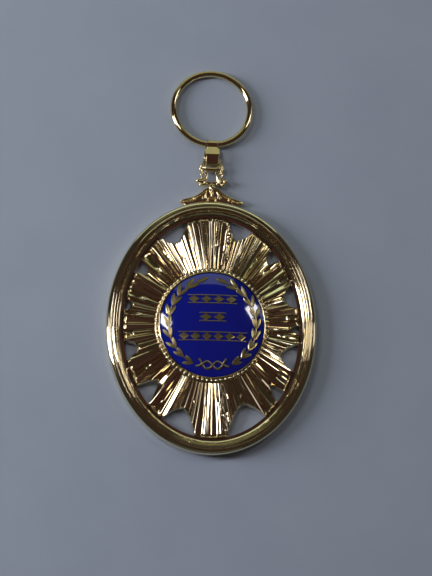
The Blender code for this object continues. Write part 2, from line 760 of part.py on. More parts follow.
def make_ornament(row, parts):
    """A row of ridged lozenges joined by a fine rule. It is lofted along X through five-sided sections, two
    points on its back and three on its face."""
    length = row["length"] * ENAMEL_WIDTH
    pitch = length / row["lozenges"]
    y = row["place"] * ENAMEL_HEIGHT / 2
    stations = [(-length / 2, RULE_WIDTH / 2)]
    for i in range(row["lozenges"]):
        left = -length / 2 + i * pitch
        for point in rows(LOZENGE_COLUMNS, LOZENGE_ROWS):
            half = max(point["half_height"] * LOZENGE_HEIGHT, RULE_WIDTH / 2)
            stations.append((left + point["along"] * pitch, half))
    stations.append((length / 2, RULE_WIDTH / 2))

    def build(work):
        sections = []
        for x, half in stations:
            edge = INLAY_HEIGHT / 2
            corners = ((-half, 0), (half, 0), (half, edge), (0, INLAY_HEIGHT), (-half, edge))
            sections.append([work.verts.new((x, y + across, up)) for across, up in corners])
        bridge_rings(work, sections)
        work.faces.new(sections[0])
        work.faces.new(sections[-1])

    ornament = add_object(row["name"], mesh_from(row["name"], build), parts)
    lay_on_dome(ornament.data)
    return ornament


def make_bail(parts, helpers):
    """A strip that wraps the eye's bar and the ring's wire. Its side view is a closed belt, and its width is
    then cut to the strap's outline."""

    def belt(bar_radius, wire_radius):
        lean = math.asin((wire_radius - bar_radius) / BAIL_REACH)
        points = []
        for i in range(FOLD_STEPS + 1):
            turn = -math.pi / 2 - lean + (math.pi + 2 * lean) * i / FOLD_STEPS
            points.append((BAIL_REACH + wire_radius * math.cos(turn), wire_radius * math.sin(turn)))
        for i in range(FOLD_STEPS + 1):
            turn = math.pi / 2 + lean + (math.pi - 2 * lean) * i / FOLD_STEPS
            points.append((bar_radius * math.cos(turn), bar_radius * math.sin(turn)))
        return points

    outside = belt(BAR_FOLD, WIRE_FOLD)
    inside = belt(BAR_FOLD - BAIL_STRIP, WIRE_FOLD - BAIL_STRIP)

    def build(work):
        loops = []
        for x in (-BAIL_WIDTH, BAIL_WIDTH):
            for outline in (outside, inside):
                loops.append([work.verts.new((x, y, z)) for y, z in outline])
        near_out, near_in, far_out, far_in = loops
        bridge_rings(work, [near_in, near_out, far_out, far_in, near_in])

    bail = add_object("bail", mesh_from("bail", build), parts)
    bail.location = (0, BAR_Y, HANG_LEVEL)
    shoulder = BAR_FOLD + BAIL_SHOULDER
    neck = BAIL_REACH - RING_WIRE / 2 - SWING_GAP
    side = [
        (BAIL_FOOT_WIDTH / 2, -2 * BAR_FOLD),
        (BAIL_FOOT_WIDTH / 2, shoulder),
        (BAIL_WIDTH / 2, shoulder + BAIL_TAPER),
        (BAIL_WIDTH / 2, neck - BAIL_TAPER),
        (BAIL_TOP_WIDTH / 2, neck),
        (BAIL_TOP_WIDTH / 2, BAIL_REACH + 2 * WIRE_FOLD),
    ]
    outline = side + [(-x, y) for x, y in reversed(side)]
    plan = prism("bail_plan", outline, -2 * WIRE_FOLD, 2 * WIRE_FOLD, helpers)
    plan.location = bail.location
    boolean(bail, as_helper(plan), "INTERSECT")
    return bail


def make_ring(parts):
    """A round wire ring whose origin is in its wire inside the bail. Its far side lies on the rest plane."""
    bpy.ops.mesh.primitive_torus_add(
        major_radius=RING_RADIUS,
        minor_radius=RING_WIRE / 2,
        major_segments=RING_STEPS,
        minor_segments=WIRE_STEPS,
    )
    ring = adopt("ring", parts)
    ring.data.transform(Matrix.Translation((0, RING_RADIUS, 0)))
    ring.location = (0, WIRE_Y, HANG_LEVEL)
    ring.rotation_euler = (-RING_TILT, 0, 0)
    return ring


def main():
    clear_scene()
    parts = new_collection("judges_badge")
    helpers = new_collection("helpers")
    gilt = material("polished gilt", GILT, 0.14, 1.0)
    ring_gilt = material("ring gilt", RING_GILT, 0.10, 1.0)
    inlay = material("inlay gold", INLAY_GILT, 0.35, 1.0)
    enamel = material("blue enamel", BLUE, 0.06, 0.0)
    finishes = [
        (make_frame(parts, helpers), gilt),
        (make_sunburst(parts, helpers), gilt),
        (make_bezel(parts), gilt),
        (make_enamel(parts), enamel),
        (make_wreath(parts, helpers), inlay),
        (make_bail(parts, helpers), ring_gilt),
        (make_ring(parts), ring_gilt),
    ]
    for row in rows(ROW_COLUMNS, ROWS):
        finishes.append((make_ornament(row, parts), inlay))
    for obj, finish in finishes:
        obj.data.materials.clear()
        obj.data.materials.append(finish)
        smooth(obj, 30)


main()
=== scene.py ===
# %% [markdown]
# # A gilt judge's badge
#
# The badge lies on its back: an oval moulded frame, a pierced sunburst plate inside it, a beaded bezel that
# holds a domed blue enamel disc, and a cast finial that carries a strap bail and a plain ring.
#
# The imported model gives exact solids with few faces. Polished metal shows every facet as a flash, so each
# solid gets a finer piece that stands for it here. The badge's sizes are in millimetres until a mesh is
# made, because its parts are measured in tenths of a millimetre.

import math

import bmesh
import bpy
import numpy as np
from mathutils import Matrix, Vector


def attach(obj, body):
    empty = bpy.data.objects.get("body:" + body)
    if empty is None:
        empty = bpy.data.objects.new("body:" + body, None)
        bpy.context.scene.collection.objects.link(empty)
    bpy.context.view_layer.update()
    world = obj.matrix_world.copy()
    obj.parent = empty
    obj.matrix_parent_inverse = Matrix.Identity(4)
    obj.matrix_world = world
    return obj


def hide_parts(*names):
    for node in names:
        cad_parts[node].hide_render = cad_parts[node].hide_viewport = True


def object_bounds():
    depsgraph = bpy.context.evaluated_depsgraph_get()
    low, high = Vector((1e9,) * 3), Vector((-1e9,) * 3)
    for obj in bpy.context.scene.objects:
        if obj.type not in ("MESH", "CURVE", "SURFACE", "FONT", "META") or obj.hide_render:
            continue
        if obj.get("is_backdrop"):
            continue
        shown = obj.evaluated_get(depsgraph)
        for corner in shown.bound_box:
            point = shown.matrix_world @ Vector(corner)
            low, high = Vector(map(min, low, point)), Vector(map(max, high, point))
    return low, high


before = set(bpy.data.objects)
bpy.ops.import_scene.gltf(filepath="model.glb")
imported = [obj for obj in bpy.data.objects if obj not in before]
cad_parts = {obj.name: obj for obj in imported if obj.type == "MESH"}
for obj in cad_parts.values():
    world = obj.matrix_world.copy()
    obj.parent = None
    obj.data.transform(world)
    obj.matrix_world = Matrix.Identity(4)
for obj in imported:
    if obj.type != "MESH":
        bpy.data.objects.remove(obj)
CAD_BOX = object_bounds()
MM = 0.001

# %% [markdown]
# ## Camera
#
# The photograph was taken from about 40 cm, leaning a little towards the foot of the badge and a little to
# its left. That can be read from the ring, which is a true circle but looks 4 % flatter than it is wide.
# The camera is placed from those angles, so its place can be changed without hunting for coordinates.

# %% Camera
DISTANCE = 400 * MM
LEAN_DOWN = math.radians(15.9)
LEAN_LEFT = math.radians(5.5)
ROLL = math.radians(0.10)
TARGET = Vector((1.20, 9.85, 0.0)) * MM
LENS = 105.4

towards_camera = Vector((
    -math.sin(LEAN_LEFT),
    -math.sin(LEAN_DOWN) * math.cos(LEAN_LEFT),
    math.cos(LEAN_DOWN) * math.cos(LEAN_LEFT),
))
right = Vector((0, 1, 0)).cross(towards_camera).normalized()
up = towards_camera.cross(right)
turned = Matrix((right, up, towards_camera)).transposed() @ Matrix.Rotation(ROLL, 3, "Z")
camera_data = bpy.data.cameras.new("camera")
camera_data.sensor_fit = "VERTICAL"
camera_data.sensor_height = 36
camera_data.lens = LENS
camera_data.clip_start = 0.01
camera = bpy.data.objects.new("camera", camera_data)
camera.matrix_world = Matrix.Translation(TARGET + towards_camera * DISTANCE) @ turned.to_4x4()
bpy.context.scene.collection.objects.link(camera)
bpy.context.scene.camera = camera
print("camera at", tuple(round(value, 3) for value in camera.location))

# %% [markdown]
# ## Light
#
# Polished metal is only as good as what it mirrors, and the photograph says where its lights stood: the
# ring is bright inside its left and upper right, and outside its right and lower left. So a long wall of
# light stands at the left and a shorter, dimmer one at the right, further towards the ring. A small bright
# box above each gives the dome its two white marks, and a low one beyond each lights the outer slopes of
# the frame. The room between them stays dark, redder overhead and greener towards the horizon, and dim
# green strips above and below stand for its walls. The boxes are given in degrees from the vertical, metres
# and brightness.

# %% Lights and room
SOFTBOX_COLUMNS = ("name", "across", "along", "distance", "width", "height", "brightness", "colour")
SOFTBOX_ROWS = (
    ("key_left", -26, 18, 0.50, 0.050, 0.13, 10.0, (1.0, 0.98, 1.0)),
    ("key_right", 31, 26, 0.50, 0.06, 0.09, 7.0, (1.0, 0.98, 1.0)),
    ("wall_left", -47, 14, 0.60, 0.10, 0.34, 1.0, (1.0, 0.95, 1.0)),
    ("wall_right", 47, 34, 0.60, 0.11, 0.22, 0.7, (1.0, 0.95, 1.0)),
    ("side_left", -69, 14, 0.60, 0.13, 0.32, 16.0, (1.0, 0.97, 1.0)),
    ("side_right", 69, 30, 0.70, 0.09, 0.18, 1.0, (1.0, 0.97, 1.0)),
    ("room_above", 0, 76, 0.80, 1.20, 0.16, 0.8, (0.88, 1.0, 0.70)),
    ("room_high", 0, 46, 0.80, 0.50, 0.26, 0.36, (0.90, 1.0, 0.66)),
    ("room_below", 0, -62, 0.80, 0.80, 0.12, 0.10, (0.95, 1.0, 0.78)),
)
# height of the heading, colour
ROOM_TONES = ((0.08, (0.055, 0.055, 0.042)), (0.50, (0.022, 0.024, 0.018)), (0.94, (0.044, 0.022, 0.020)))


def softbox(row):
    """An area light in the direction given by two leans from the vertical, facing the badge."""
    heading = Vector((math.tan(math.radians(row["across"])), math.tan(math.radians(row["along"])), 1))
    heading.normalize()
    data = bpy.data.lights.new(row["name"], "AREA")
    data.shape = "RECTANGLE"
    data.size = row["width"]
    data.size_y = row["height"]
    data.energy = row["brightness"] * math.pi * row["width"] * row["height"]
    data.color = row["colour"]
    light = bpy.data.objects.new(row["name"], data)
    light.location = heading * row["distance"]
    light.rotation_euler = heading.to_track_quat("Z", "Y").to_euler()
    bpy.context.scene.collection.objects.link(light)
    return light


for values in SOFTBOX_ROWS:
    softbox(dict(zip(SOFTBOX_COLUMNS, values)))
world = bpy.data.worlds.new("room")
world.use_nodes = True
room = world.node_tree
heading = room.nodes.new("ShaderNodeTexCoord").outputs["Generated"]
height = room.nodes.new("ShaderNodeSeparateXYZ")
room.links.new(heading, height.inputs[0])
tones = room.nodes.new("ShaderNodeValToRGB")
low_stop, high_stop = tones.color_ramp.elements
low_stop.position, high_stop.position = ROOM_TONES[0][0], ROOM_TONES[2][0]
tones.color_ramp.elements.new(ROOM_TONES[1][0])
for stop, (_, tone) in zip(tones.color_ramp.elements, ROOM_TONES):
    stop.color = (*tone, 1)
room.links.new(height.outputs["Z"], tones.inputs[0])
room.links.new(tones.outputs[0], room.nodes["Background"].inputs["Color"])
bpy.context.scene.world = world
bpy.context.scene.view_settings.view_transform = "Standard"
print(len(SOFTBOX_ROWS), "soft boxes")

# %% [markdown]
# ## Small tools
#
# A few helpers are used by most pieces. One adds a node to any node tree and wires it up, some add a group
# of nodes that is needed often, and one turns a tree and a start shape into a plain mesh. Nodes could be
# wired line by line instead, but a tree of twenty nodes would then fill a page, and its sizes would be hard
# to find.


# %% Node tree helpers
def add(tree, kind, links=None, **settings):
    """A new node with its settings. Each entry of links is an input's name and a value or another socket."""
    made = tree.nodes.new(kind)
    for key, value in settings.items():
        setattr(made, key, value)
    for key, value in (links or {}).items():
        socket = made.inputs[key]
        if isinstance(value, bpy.types.NodeSocket):
            tree.links.new(value, socket)
        else:
            socket.default_value = value
    return made


def calc(tree, operation, first, second=0.0):
    """One step of arithmetic, as a socket."""
    return add(tree, "ShaderNodeMath", {0: first, 1: second}, operation=operation).outputs[0]


def xyz(tree, **parts):
    """A vector from its parts, as a socket."""
    return add(tree, "ShaderNodeCombineXYZ", parts).outputs[0]


def oval_curve(tree, steps, width, height):
    """A closed curve round an oval, as a socket."""
    circle = add(tree, "GeometryNodeCurvePrimitiveCircle", {"Resolution": steps, "Radius": 0.5}).outputs[0]
    size = xyz(tree, X=width, Y=height, Z=1.0)
    return add(tree, "GeometryNodeTransform", {"Geometry": circle, "Scale": size}).outputs[0]


def sweep(tree, path, profile, caps=False):
    """A profile carried along a path without tipping, as a socket."""
    upright = add(tree, "GeometryNodeSetCurveNormal", {"Curve": path}, mode="Z_UP").outputs[0]
    return add(tree, "GeometryNodeCurveToMesh", {
        "Curve": upright, "Profile Curve": profile, "Fill Caps": caps,
    }).outputs[0]


def new_tree(name, inputs):
    """A Geometry Nodes tree with a geometry input and the named inputs, and its two end nodes."""
    tree = bpy.data.node_groups.new(name, "GeometryNodeTree")
    tree.interface.new_socket(name="Geometry", in_out="INPUT", socket_type="NodeSocketGeometry")
    for label, kind in inputs:
        tree.interface.new_socket(name=label, in_out="INPUT", socket_type=kind)
    tree.interface.new_socket(name="Geometry", in_out="OUTPUT", socket_type="NodeSocketGeometry")
    start = tree.nodes.new("NodeGroupInput")
    end = tree.nodes.new("NodeGroupOutput")
    return tree, start, end


def close_tree(tree, end, geometry, material):
    """Ends a tree in Realize Instances and Set Material, as the export needs."""
    real = add(tree, "GeometryNodeRealizeInstances", {"Geometry": geometry})
    done = add(tree, "GeometryNodeSetMaterial", {"Geometry": real.outputs[0], "Material": material})
    tree.links.new(done.outputs[0], end.inputs[0])


def grow(name, start_data, tree, values):
    """Runs a tree on a start shape and returns the result as a plain mesh object at the origin."""
    seed = bpy.data.objects.new(name + "_seed", start_data)
    bpy.context.scene.collection.objects.link(seed)
    modifier = seed.modifiers.new("grow", "NODES")
    modifier.node_group = tree
    for item in tree.interface.items_tree:
        if item.in_out == "INPUT" and item.name in values:
            modifier[item.identifier] = values[item.name]
    seed.update_tag()
    bpy.context.view_layer.update()
    graph = bpy.context.evaluated_depsgraph_get()
    mesh = bpy.data.meshes.new_from_object(seed.evaluated_get(graph))
    bpy.data.objects.remove(seed)
    return place(name, mesh)


def place(name, mesh):
    """A mesh object at the origin, in the scene."""
    mesh.name = name
    piece = bpy.data.objects.new(name, mesh)
    bpy.context.scene.collection.objects.link(piece)
    return piece


def poly_curve(name, lines, closed=False):
    """Curve data with one straight-sided spline for each line of points in millimetres."""
    data = bpy.data.curves.new(name, "CURVE")
    data.dimensions = "3D"
    for line in lines:
        spline = data.splines.new("POLY")
        spline.points.add(len(line) - 1)
        for point, (x, y, z) in zip(spline.points, line):
            point.co = (x * MM, y * MM, z * MM, 1)
        spline.use_cyclic_u = closed
    return data


# %% [markdown]
# ## Ovals, sections and skins
#
# The plate and the foot of the finial follow the frame's oval, so they share one function for a point that
# is moved inwards from it. The frame's section is given by a few points and rounded by a curve through them.
# A skin is a mesh woven between rings of points, the way a lathe or a loft makes one, and it comes out
# closed.

# %% Oval and mesh helpers
SAME_POINT = 0.002


def oval(width, height, inset, turn):
    """A point of an oval at a parameter angle, moved inwards along the oval's normal."""
    across, along = width / 2, height / 2
    normal = Vector((math.cos(turn) / across, math.sin(turn) / along)).normalized()
    return Vector((across * math.cos(turn), along * math.sin(turn))) - inset * normal


def round_off(points, steps):
    """A smooth line through the points of a section, with a number of steps in each span."""
    line = []
    for i in range(len(points) - 1):
        before = points[max(i - 1, 0)]
        after = points[min(i + 2, len(points) - 1)]
        for k in range(steps):
            t = k / steps
            line.append(tuple(
                0.5 * (2 * b + (c - a) * t + (2 * a - 5 * b + 4 * c - d) * t**2
                       + (3 * b - a - 3 * c + d) * t**3)
                for a, b, c, d in zip(before, points[i], points[i + 1], after)
            ))
    return line + [tuple(points[-1])]


def skin(name, rings, cyclic=False):
    """A closed mesh of quads between rings of points in millimetres, capped at both ends or joined round."""
    mesh = bpy.data.meshes.new(name)
    work = bmesh.new()
    built = [[work.verts.new(Vector(point) * MM) for point in ring] for ring in rings]
    pairs = list(zip(built, built[1:]))
    if cyclic:
        pairs.append((built[-1], built[0]))
    for lower, upper in pairs:
        count = len(lower)
        for i in range(count):
            j = (i + 1) % count
            work.faces.new((lower[i], lower[j], upper[j], upper[i]))
    if not cyclic:
        work.faces.new(built[0])
        work.faces.new(built[-1])
    bmesh.ops.recalc_face_normals(work, faces=work.faces)
    work.to_mesh(mesh)
    work.free()
    return mesh


def finish(piece, material, sharp=35):
    """One material and smooth shading that keeps the crisp edges."""
    mesh = piece.data
    work = bmesh.new()
    work.from_mesh(mesh)
    bmesh.ops.remove_doubles(work, verts=work.verts, dist=SAME_POINT * MM)
    bmesh.ops.recalc_face_normals(work, faces=work.faces)
    work.to_mesh(mesh)
    work.free()
    mesh.materials.clear()
    mesh.materials.append(material)
    mesh.shade_smooth()
    mesh.set_sharp_from_angle(angle=math.radians(sharp))
    return piece


print("points closer than", SAME_POINT, "mm are joined")

# %% [markdown]
# ## Which places are hollow
#
# Gilding wears bright on the crests and keeps a brown tarnish in the hollows, and the same darkening also
# stands for painted shade in the grooves and recesses. A mesh can tell one from the other by itself: where a
# point lies below the mean of its neighbours, the surface is hollow. That value is stored on the points as an
# attribute, and the metals read it.


# %% Hollow map
def mark_hollows(piece, gain, passes=3):
    """Stores 0 on crests, 0.5 on flat places and 1 in hollows, smoothed over a few rings of neighbours."""
    mesh = piece.data
    count = len(mesh.vertices)
    points = np.empty(count * 3)
    mesh.vertices.foreach_get("co", points)
    points = points.reshape(-1, 3)
    normals = np.empty(count * 3)
    mesh.vertices.foreach_get("normal", normals)
    normals = normals.reshape(-1, 3)
    edges = np.empty(len(mesh.edges) * 2, np.int64)
    mesh.edges.foreach_get("vertices", edges)
    first, second = edges.reshape(-1, 2).T
    degree = np.maximum(np.bincount(edges, minlength=count), 1)

    def mean(values):
        total = np.bincount(first, values[second], count) + np.bincount(second, values[first], count)
        return total / degree

    centre = np.stack([mean(points[:, axis]) for axis in range(3)], axis=1)
    depth = ((centre - points) * normals).sum(axis=1) / MM
    for _ in range(passes):
        depth = 0.5 * depth + 0.5 * mean(depth)
    hollow = np.clip(0.5 + gain * depth, 0, 1)
    attribute = mesh.attributes.new("hollow", "FLOAT", "POINT")
    attribute.data.foreach_set("value", hollow.astype(np.float32))


# %% [markdown]
# ## Metals
#
# All the metal is gilt brass. It is polished on the ring, the bail, the frame and the sunburst, softer on
# the cast finial, and dull where it is set in the enamel. One function builds them all.
# The colour goes from clean gold to a dark brown by the hollow map: partly real tarnish, partly painted shade
# in the grooves. Noise breaks the shine into patches as handling does, and two sizes of bump give the worked
# skin and the finest scratches.


# %% Gilt material
def gilt(name, clean, film_and_shade, gloss, cast, film_and_shade_share):
    """Gilt metal. gloss is a clean place's roughness, and cast the height of its skin in millimetres."""
    made = bpy.data.materials.new(name)
    made.use_nodes = True
    tree = made.node_tree
    shader = tree.nodes["Principled BSDF"]
    place_on = add(tree, "ShaderNodeTexCoord").outputs["Object"]
    hollow = add(tree, "ShaderNodeAttribute", attribute_name="hollow").outputs["Fac"]
    cloud = add(tree, "ShaderNodeTexNoise", {"Vector": place_on, "Scale": 420.0, "Detail": 3.0})
    grain = add(tree, "ShaderNodeTexNoise", {"Vector": place_on, "Scale": 1900.0, "Detail": 2.0})
    # Painted shade: the hollow map darkens hollows towards the brown colour, partly real tarnish and partly
    # shade in grooves.
    deep = add(tree, "ShaderNodeMapRange", {
        "Value": hollow, "From Min": 0.52, "From Max": 0.95, "To Min": 0.0, "To Max": film_and_shade_share,
    })
    patch = calc(tree, "MULTIPLY", calc(tree, "SUBTRACT", cloud.outputs["Fac"], 0.45), 0.25)
    share = add(tree, "ShaderNodeMath", {0: deep.outputs[0], 1: patch}, operation="ADD", use_clamp=True)
    colour = add(tree, "ShaderNodeMix", {0: share.outputs[0], 6: clean, 7: film_and_shade}, data_type="RGBA")
    tree.links.new(colour.outputs[2], shader.inputs["Base Color"])
    rough = add(tree, "ShaderNodeMapRange", {
        "Value": calc(tree, "ADD", share.outputs[0], calc(tree, "MULTIPLY", cloud.outputs["Fac"], 0.20)),
        "From Min": 0.0, "From Max": 1.2, "To Min": gloss, "To Max": gloss + 0.22,
    })
    tree.links.new(rough.outputs[0], shader.inputs["Roughness"])
    shader.inputs["Metallic"].default_value = 1.0
    wave = add(tree, "ShaderNodeBump", {
        "Height": cloud.outputs["Fac"], "Strength": 1.0, "Distance": cast * MM,
    })
    fine = add(tree, "ShaderNodeBump", {
        "Height": grain.outputs["Fac"], "Strength": 1.0, "Distance": 0.08 * cast * MM,
        "Normal": wave.outputs[0],
    })
    tree.links.new(fine.outputs[0], shader.inputs["Normal"])
    return made


# The brown colour of the hollows: partly real tarnish, partly painted shade in grooves and recesses.
BROWN_FILM_AND_SHADE = (0.13, 0.09, 0.055, 1)
frame_gilt = gilt("frame gilt", (0.84, 0.75, 0.53, 1), BROWN_FILM_AND_SHADE, 0.05, 0.008, 0.85)
cast_gilt = gilt("cast gilt", (0.88, 0.74, 0.45, 1), BROWN_FILM_AND_SHADE, 0.15, 0.016, 0.60)
ray_gilt = gilt("sunburst gilt", (0.84, 0.74, 0.52, 1), BROWN_FILM_AND_SHADE, 0.05, 0.012, 0.80)
mirror_gilt = gilt("mirror gilt", (0.86, 0.72, 0.42, 1), BROWN_FILM_AND_SHADE, 0.05, 0.008, 0.40)
inlay_gold = gilt("inlay gold", (0.50, 0.43, 0.23, 1), (0.14, 0.10, 0.05, 1), 0.28, 0.040, 0.80)
print("metals:", [made.name for made in (frame_gilt, cast_gilt, ray_gilt, mirror_gilt, inlay_gold)])


# %% [markdown]
# ## Floor
#
# A plain pale sheet, with a faint cloud in its tone so that it doesn't look computed. One large flat face
# is enough, because nothing shows but its colour and the badge's shadow.

# %% Floor
FLOOR_HALF = 400


def make_floor():
    sheet = bpy.data.materials.new("pale sheet")
    sheet.use_nodes = True
    tree = sheet.node_tree
    shader = tree.nodes["Principled BSDF"]
    spot = add(tree, "ShaderNodeTexCoord").outputs["Object"]
    cloud = add(tree, "ShaderNodeTexNoise", {"Vector": spot, "Scale": 60.0, "Detail": 4.0})
    tone = add(tree, "ShaderNodeMix", {
        0: cloud.outputs["Fac"], 6: (0.43, 0.51, 0.65, 1), 7: (0.50, 0.59, 0.73, 1),
    }, data_type="RGBA")
    tree.links.new(tone.outputs[2], shader.inputs["Base Color"])
    shader.inputs["Roughness"].default_value = 0.9
    corners = [(x * FLOOR_HALF, y * FLOOR_HALF, 0) for x, y in ((-1, -1), (1, -1), (1, 1), (-1, 1))]
    mesh = bpy.data.meshes.new("floor")
    mesh.from_pydata([Vector(corner) * MM for corner in corners], [], [(0, 1, 2, 3)])
    mesh.materials.append(sheet)
    floor = place("floor", mesh)
    floor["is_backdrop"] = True
    return floor


print("floor:", [round(v / MM) for v in make_floor().dimensions[:2]], "mm")

# %% [markdown]
# ## Frame moulding
#
# The frame is one section carried round an oval, which is just what the Curve to Mesh node does. The
# section is drawn as a curve: a broad face that leans outwards, a groove, a second bead, another groove, a
# thin bead, a hollow that falls to the lip, and the rebate that holds the plate. The face leans 20 to 40
# degrees, so on the left and the right it mirrors the soft boxes as one white band, and its steep
# neighbours stay dark. The tree draws the oval from its width and height, so both stay adjustable.

# %% Moulding section and tree
FRAME_WIDTH = 49.6
FRAME_HEIGHT = 61.2
# inward, level
FACE_ROWS = (
    (0.02, 1.60),
    (0.02, 2.30),
    (0.09, 2.56),
    (0.26, 2.80),
    (0.50, 3.00),
    (0.80, 3.17),
    (1.06, 3.28),
    (1.16, 3.29),  # crest of the broad face
    (1.23, 3.18),
    (1.32, 3.12),  # first groove
    (1.41, 3.16),
    (1.52, 3.28),
    (1.68, 3.40),
    (1.82, 3.46),
    (1.94, 3.44),  # second bead
    (2.00, 3.30),
    (2.06, 2.96),
    (2.13, 2.78),
    (2.20, 2.78),  # second groove
    (2.28, 2.88),
    (2.38, 2.97),
    (2.50, 2.98),  # thin bead
    (2.58, 2.86),
    (2.64, 2.54),
    (2.72, 2.22),
    (2.88, 2.00),
    (3.18, 1.78),
)
BACK_SECTION = ((3.18, 1.67), (2.35, 1.67), (2.35, 0.55), (3.2, 0.55), (3.2, 0.0), (0.25, 0.0), (0.02, 0.25))
OVAL_STEPS = 320


def moulding_tree(material):
    """Carries the start curve round an oval."""
    tree, start, end = new_tree("carry round an oval", (
        ("Width", "NodeSocketFloat"), ("Height", "NodeSocketFloat"), ("Steps", "NodeSocketInt"),
    ))
    path = oval_curve(tree, start.outputs["Steps"], start.outputs["Width"], start.outputs["Height"])
    close_tree(tree, end, sweep(tree, path, start.outputs["Geometry"]), material)
    return tree


face_line = round_off(FACE_ROWS, 3)
section = face_line + list(BACK_SECTION)
moulding = grow(
    "frame_moulding",
    poly_curve("moulding section", [[(-x, -z, 0) for x, z in section]], closed=True),
    moulding_tree(frame_gilt),
    {"Width": FRAME_WIDTH * MM, "Height": FRAME_HEIGHT * MM, "Steps": OVAL_STEPS},
)
finish(moulding, frame_gilt, 50)
print("moulding:", len(moulding.data.polygons), "faces,", [round(v / MM, 2) for v in moulding.dimensions])
mark_hollows(moulding, 12)

# %% [markdown]
# ## Ring
#
# The ring is a plain round wire, bent and soldered. A torus would do, but the same kind of tree as the
# frame's draws it from two sizes, so both can be changed. It hangs in the fold of the bail and its far side
# rests on the table, which tilts it by a degree and a half.

# %% Ring
HANG_LEVEL = 1.32
BAR_Y = 41.2
WIRE_Y = 45.45
RING_RADIUS = 9.35
RING_WIRE = 1.6
RING_STEPS = 220
WIRE_SIDES = 28
RING_TILT = math.asin((HANG_LEVEL - RING_WIRE / 2) / (2 * RING_RADIUS))


def wire_tree(material):
    tree, start, end = new_tree("wire ring", (
        ("Radius", "NodeSocketFloat"), ("Wire", "NodeSocketFloat"), ("Steps", "NodeSocketInt"),
    ))
    path = add(tree, "GeometryNodeCurvePrimitiveCircle", {
        "Resolution": start.outputs["Steps"], "Radius": start.outputs["Radius"],
    })
    wire = add(tree, "GeometryNodeCurvePrimitiveCircle", {
        "Resolution": WIRE_SIDES, "Radius": calc(tree, "MULTIPLY", start.outputs["Wire"], 0.5),
    })
    swept = add(tree, "GeometryNodeCurveToMesh", {
        "Curve": path.outputs[0], "Profile Curve": wire.outputs[0],
    })
    close_tree(tree, end, swept.outputs[0], material)
    return tree


ring = grow(
    "ring_wire", bpy.data.meshes.new("nothing"), wire_tree(mirror_gilt),
    {"Radius": RING_RADIUS * MM, "Wire": RING_WIRE * MM, "Steps": RING_STEPS},
)
hang = Matrix.Translation(Vector((0, WIRE_Y, HANG_LEVEL)) * MM)
hang = hang @ Matrix.Rotation(-RING_TILT, 4, "X") @ Matrix.Translation((0, RING_RADIUS * MM, 0))
ring.data.transform(hang)
finish(ring, mirror_gilt)
mark_hollows(ring, 0)
print("ring:", len(ring.data.polygons), "faces, tilted by", round(math.degrees(RING_TILT), 2), "degrees")

# %% [markdown]
# ## Bail
#
# The bail is a strap bent round the finial's bar and the ring's wire. Its side view is a belt round two
# circles, with the front bulged out to a nearly flat plate that catches the light. Its width changes along
# the way: a lower part round the bar, a broad plate, a waist, two small ears and a collar over the wire. A
# sweep can't change a strap's width like this, so rings of points with cut corners are set along the belt
# and woven.

# %% Bail
BAIL_REACH = 4.25
BAR_FOLD = 0.92
WIRE_FOLD = 1.27
STRIP = 0.32
FOLD_SLACK = 0.35
STRIP_CORNER = 0.07
FOLD_STEPS = 24
STRAP_RINGS = 132
CROWN_ALONG = (-0.7, 1.05, 1.25, 3.4, 4.4)
CROWN_LIFT = (0, 0.46, 0.54, 0.02, 0)
# along, half width
BAIL_WIDTH_ROWS = (
    (-1.6, 1.46),
    (1.05, 1.48),
    (1.25, 1.78),
    (2.90, 1.72),
    (3.05, 1.30),
    (3.20, 1.28),
    (3.32, 1.60),
    (3.60, 1.60),
    (3.72, 1.22),
    (5.6, 1.18),
)


def belt(bar_radius, wire_radius, steps):
    """The side view of a belt round the bar and the wire, as (along, level) points."""
    lean = math.asin((wire_radius - bar_radius) / (BAIL_REACH + FOLD_SLACK))
    points = []
    for i in range(steps + 1):
        turn = -math.pi / 2 - lean + (math.pi + 2 * lean) * i / steps
        points.append((BAIL_REACH + wire_radius * math.cos(turn), wire_radius * math.sin(turn)))
    first = points[-1]
    for i in range(steps + 1):
        turn = math.pi / 2 + lean + (math.pi - 2 * lean) * i / steps
        points.append((bar_radius * math.cos(turn) - FOLD_SLACK, bar_radius * math.sin(turn)))
    return points


def even_line(points, count):
    """The closed line through the points, cut into a count of equal steps."""
    loop = np.array(list(points) + [points[0]])
    travelled = np.concatenate([[0], np.cumsum(np.linalg.norm(np.diff(loop, axis=0), axis=1))])
    stops = np.linspace(0, travelled[-1], count, endpoint=False)
    return np.stack([np.interp(stops, travelled, loop[:, axis]) for axis in range(2)], axis=1)


def strap_ring(point, away, half_width):
    """The strap's cross-section at a point of the belt: a rectangle with its four corners cut."""
    ring_points = []
    for x_sign, side in ((-1, -1), (-1, 1), (1, 1), (1, -1)):
        cuts = ((0, STRIP_CORNER), (STRIP_CORNER, 0))
        for cut_x, cut_z in cuts if x_sign * side > 0 else reversed(cuts):
            lift = side * (STRIP / 2 - cut_z)
            along = BAR_Y + point[0] + away[0] * lift
            ring_points.append((x_sign * (half_width - cut_x), along, HANG_LEVEL + point[1] + away[1] * lift))
    return ring_points


def make_bail():
    middle = even_line(belt(BAR_FOLD - STRIP / 2, WIRE_FOLD - STRIP / 2, FOLD_STEPS), STRAP_RINGS)
    crown = np.interp(middle[:, 0], CROWN_ALONG, CROWN_LIFT)
    middle[:, 1] += np.where(middle[:, 1] > 0, crown, 0)
    ahead = np.roll(middle, -1, axis=0) - np.roll(middle, 1, axis=0)
    ahead /= np.linalg.norm(ahead, axis=1)[:, None]
    outward = np.stack([ahead[:, 1], -ahead[:, 0]], axis=1)
    along, half = np.array(BAIL_WIDTH_ROWS).T
    rings = [strap_ring(p, away, np.interp(p[0], along, half)) for p, away in zip(middle, outward)]
    return place("bail_strap", skin("bail_strap", rings, cyclic=True))


bail = finish(make_bail(), mirror_gilt, 40)
mark_hollows(bail, 0)
print("bail:", len(bail.data.polygons), "faces")

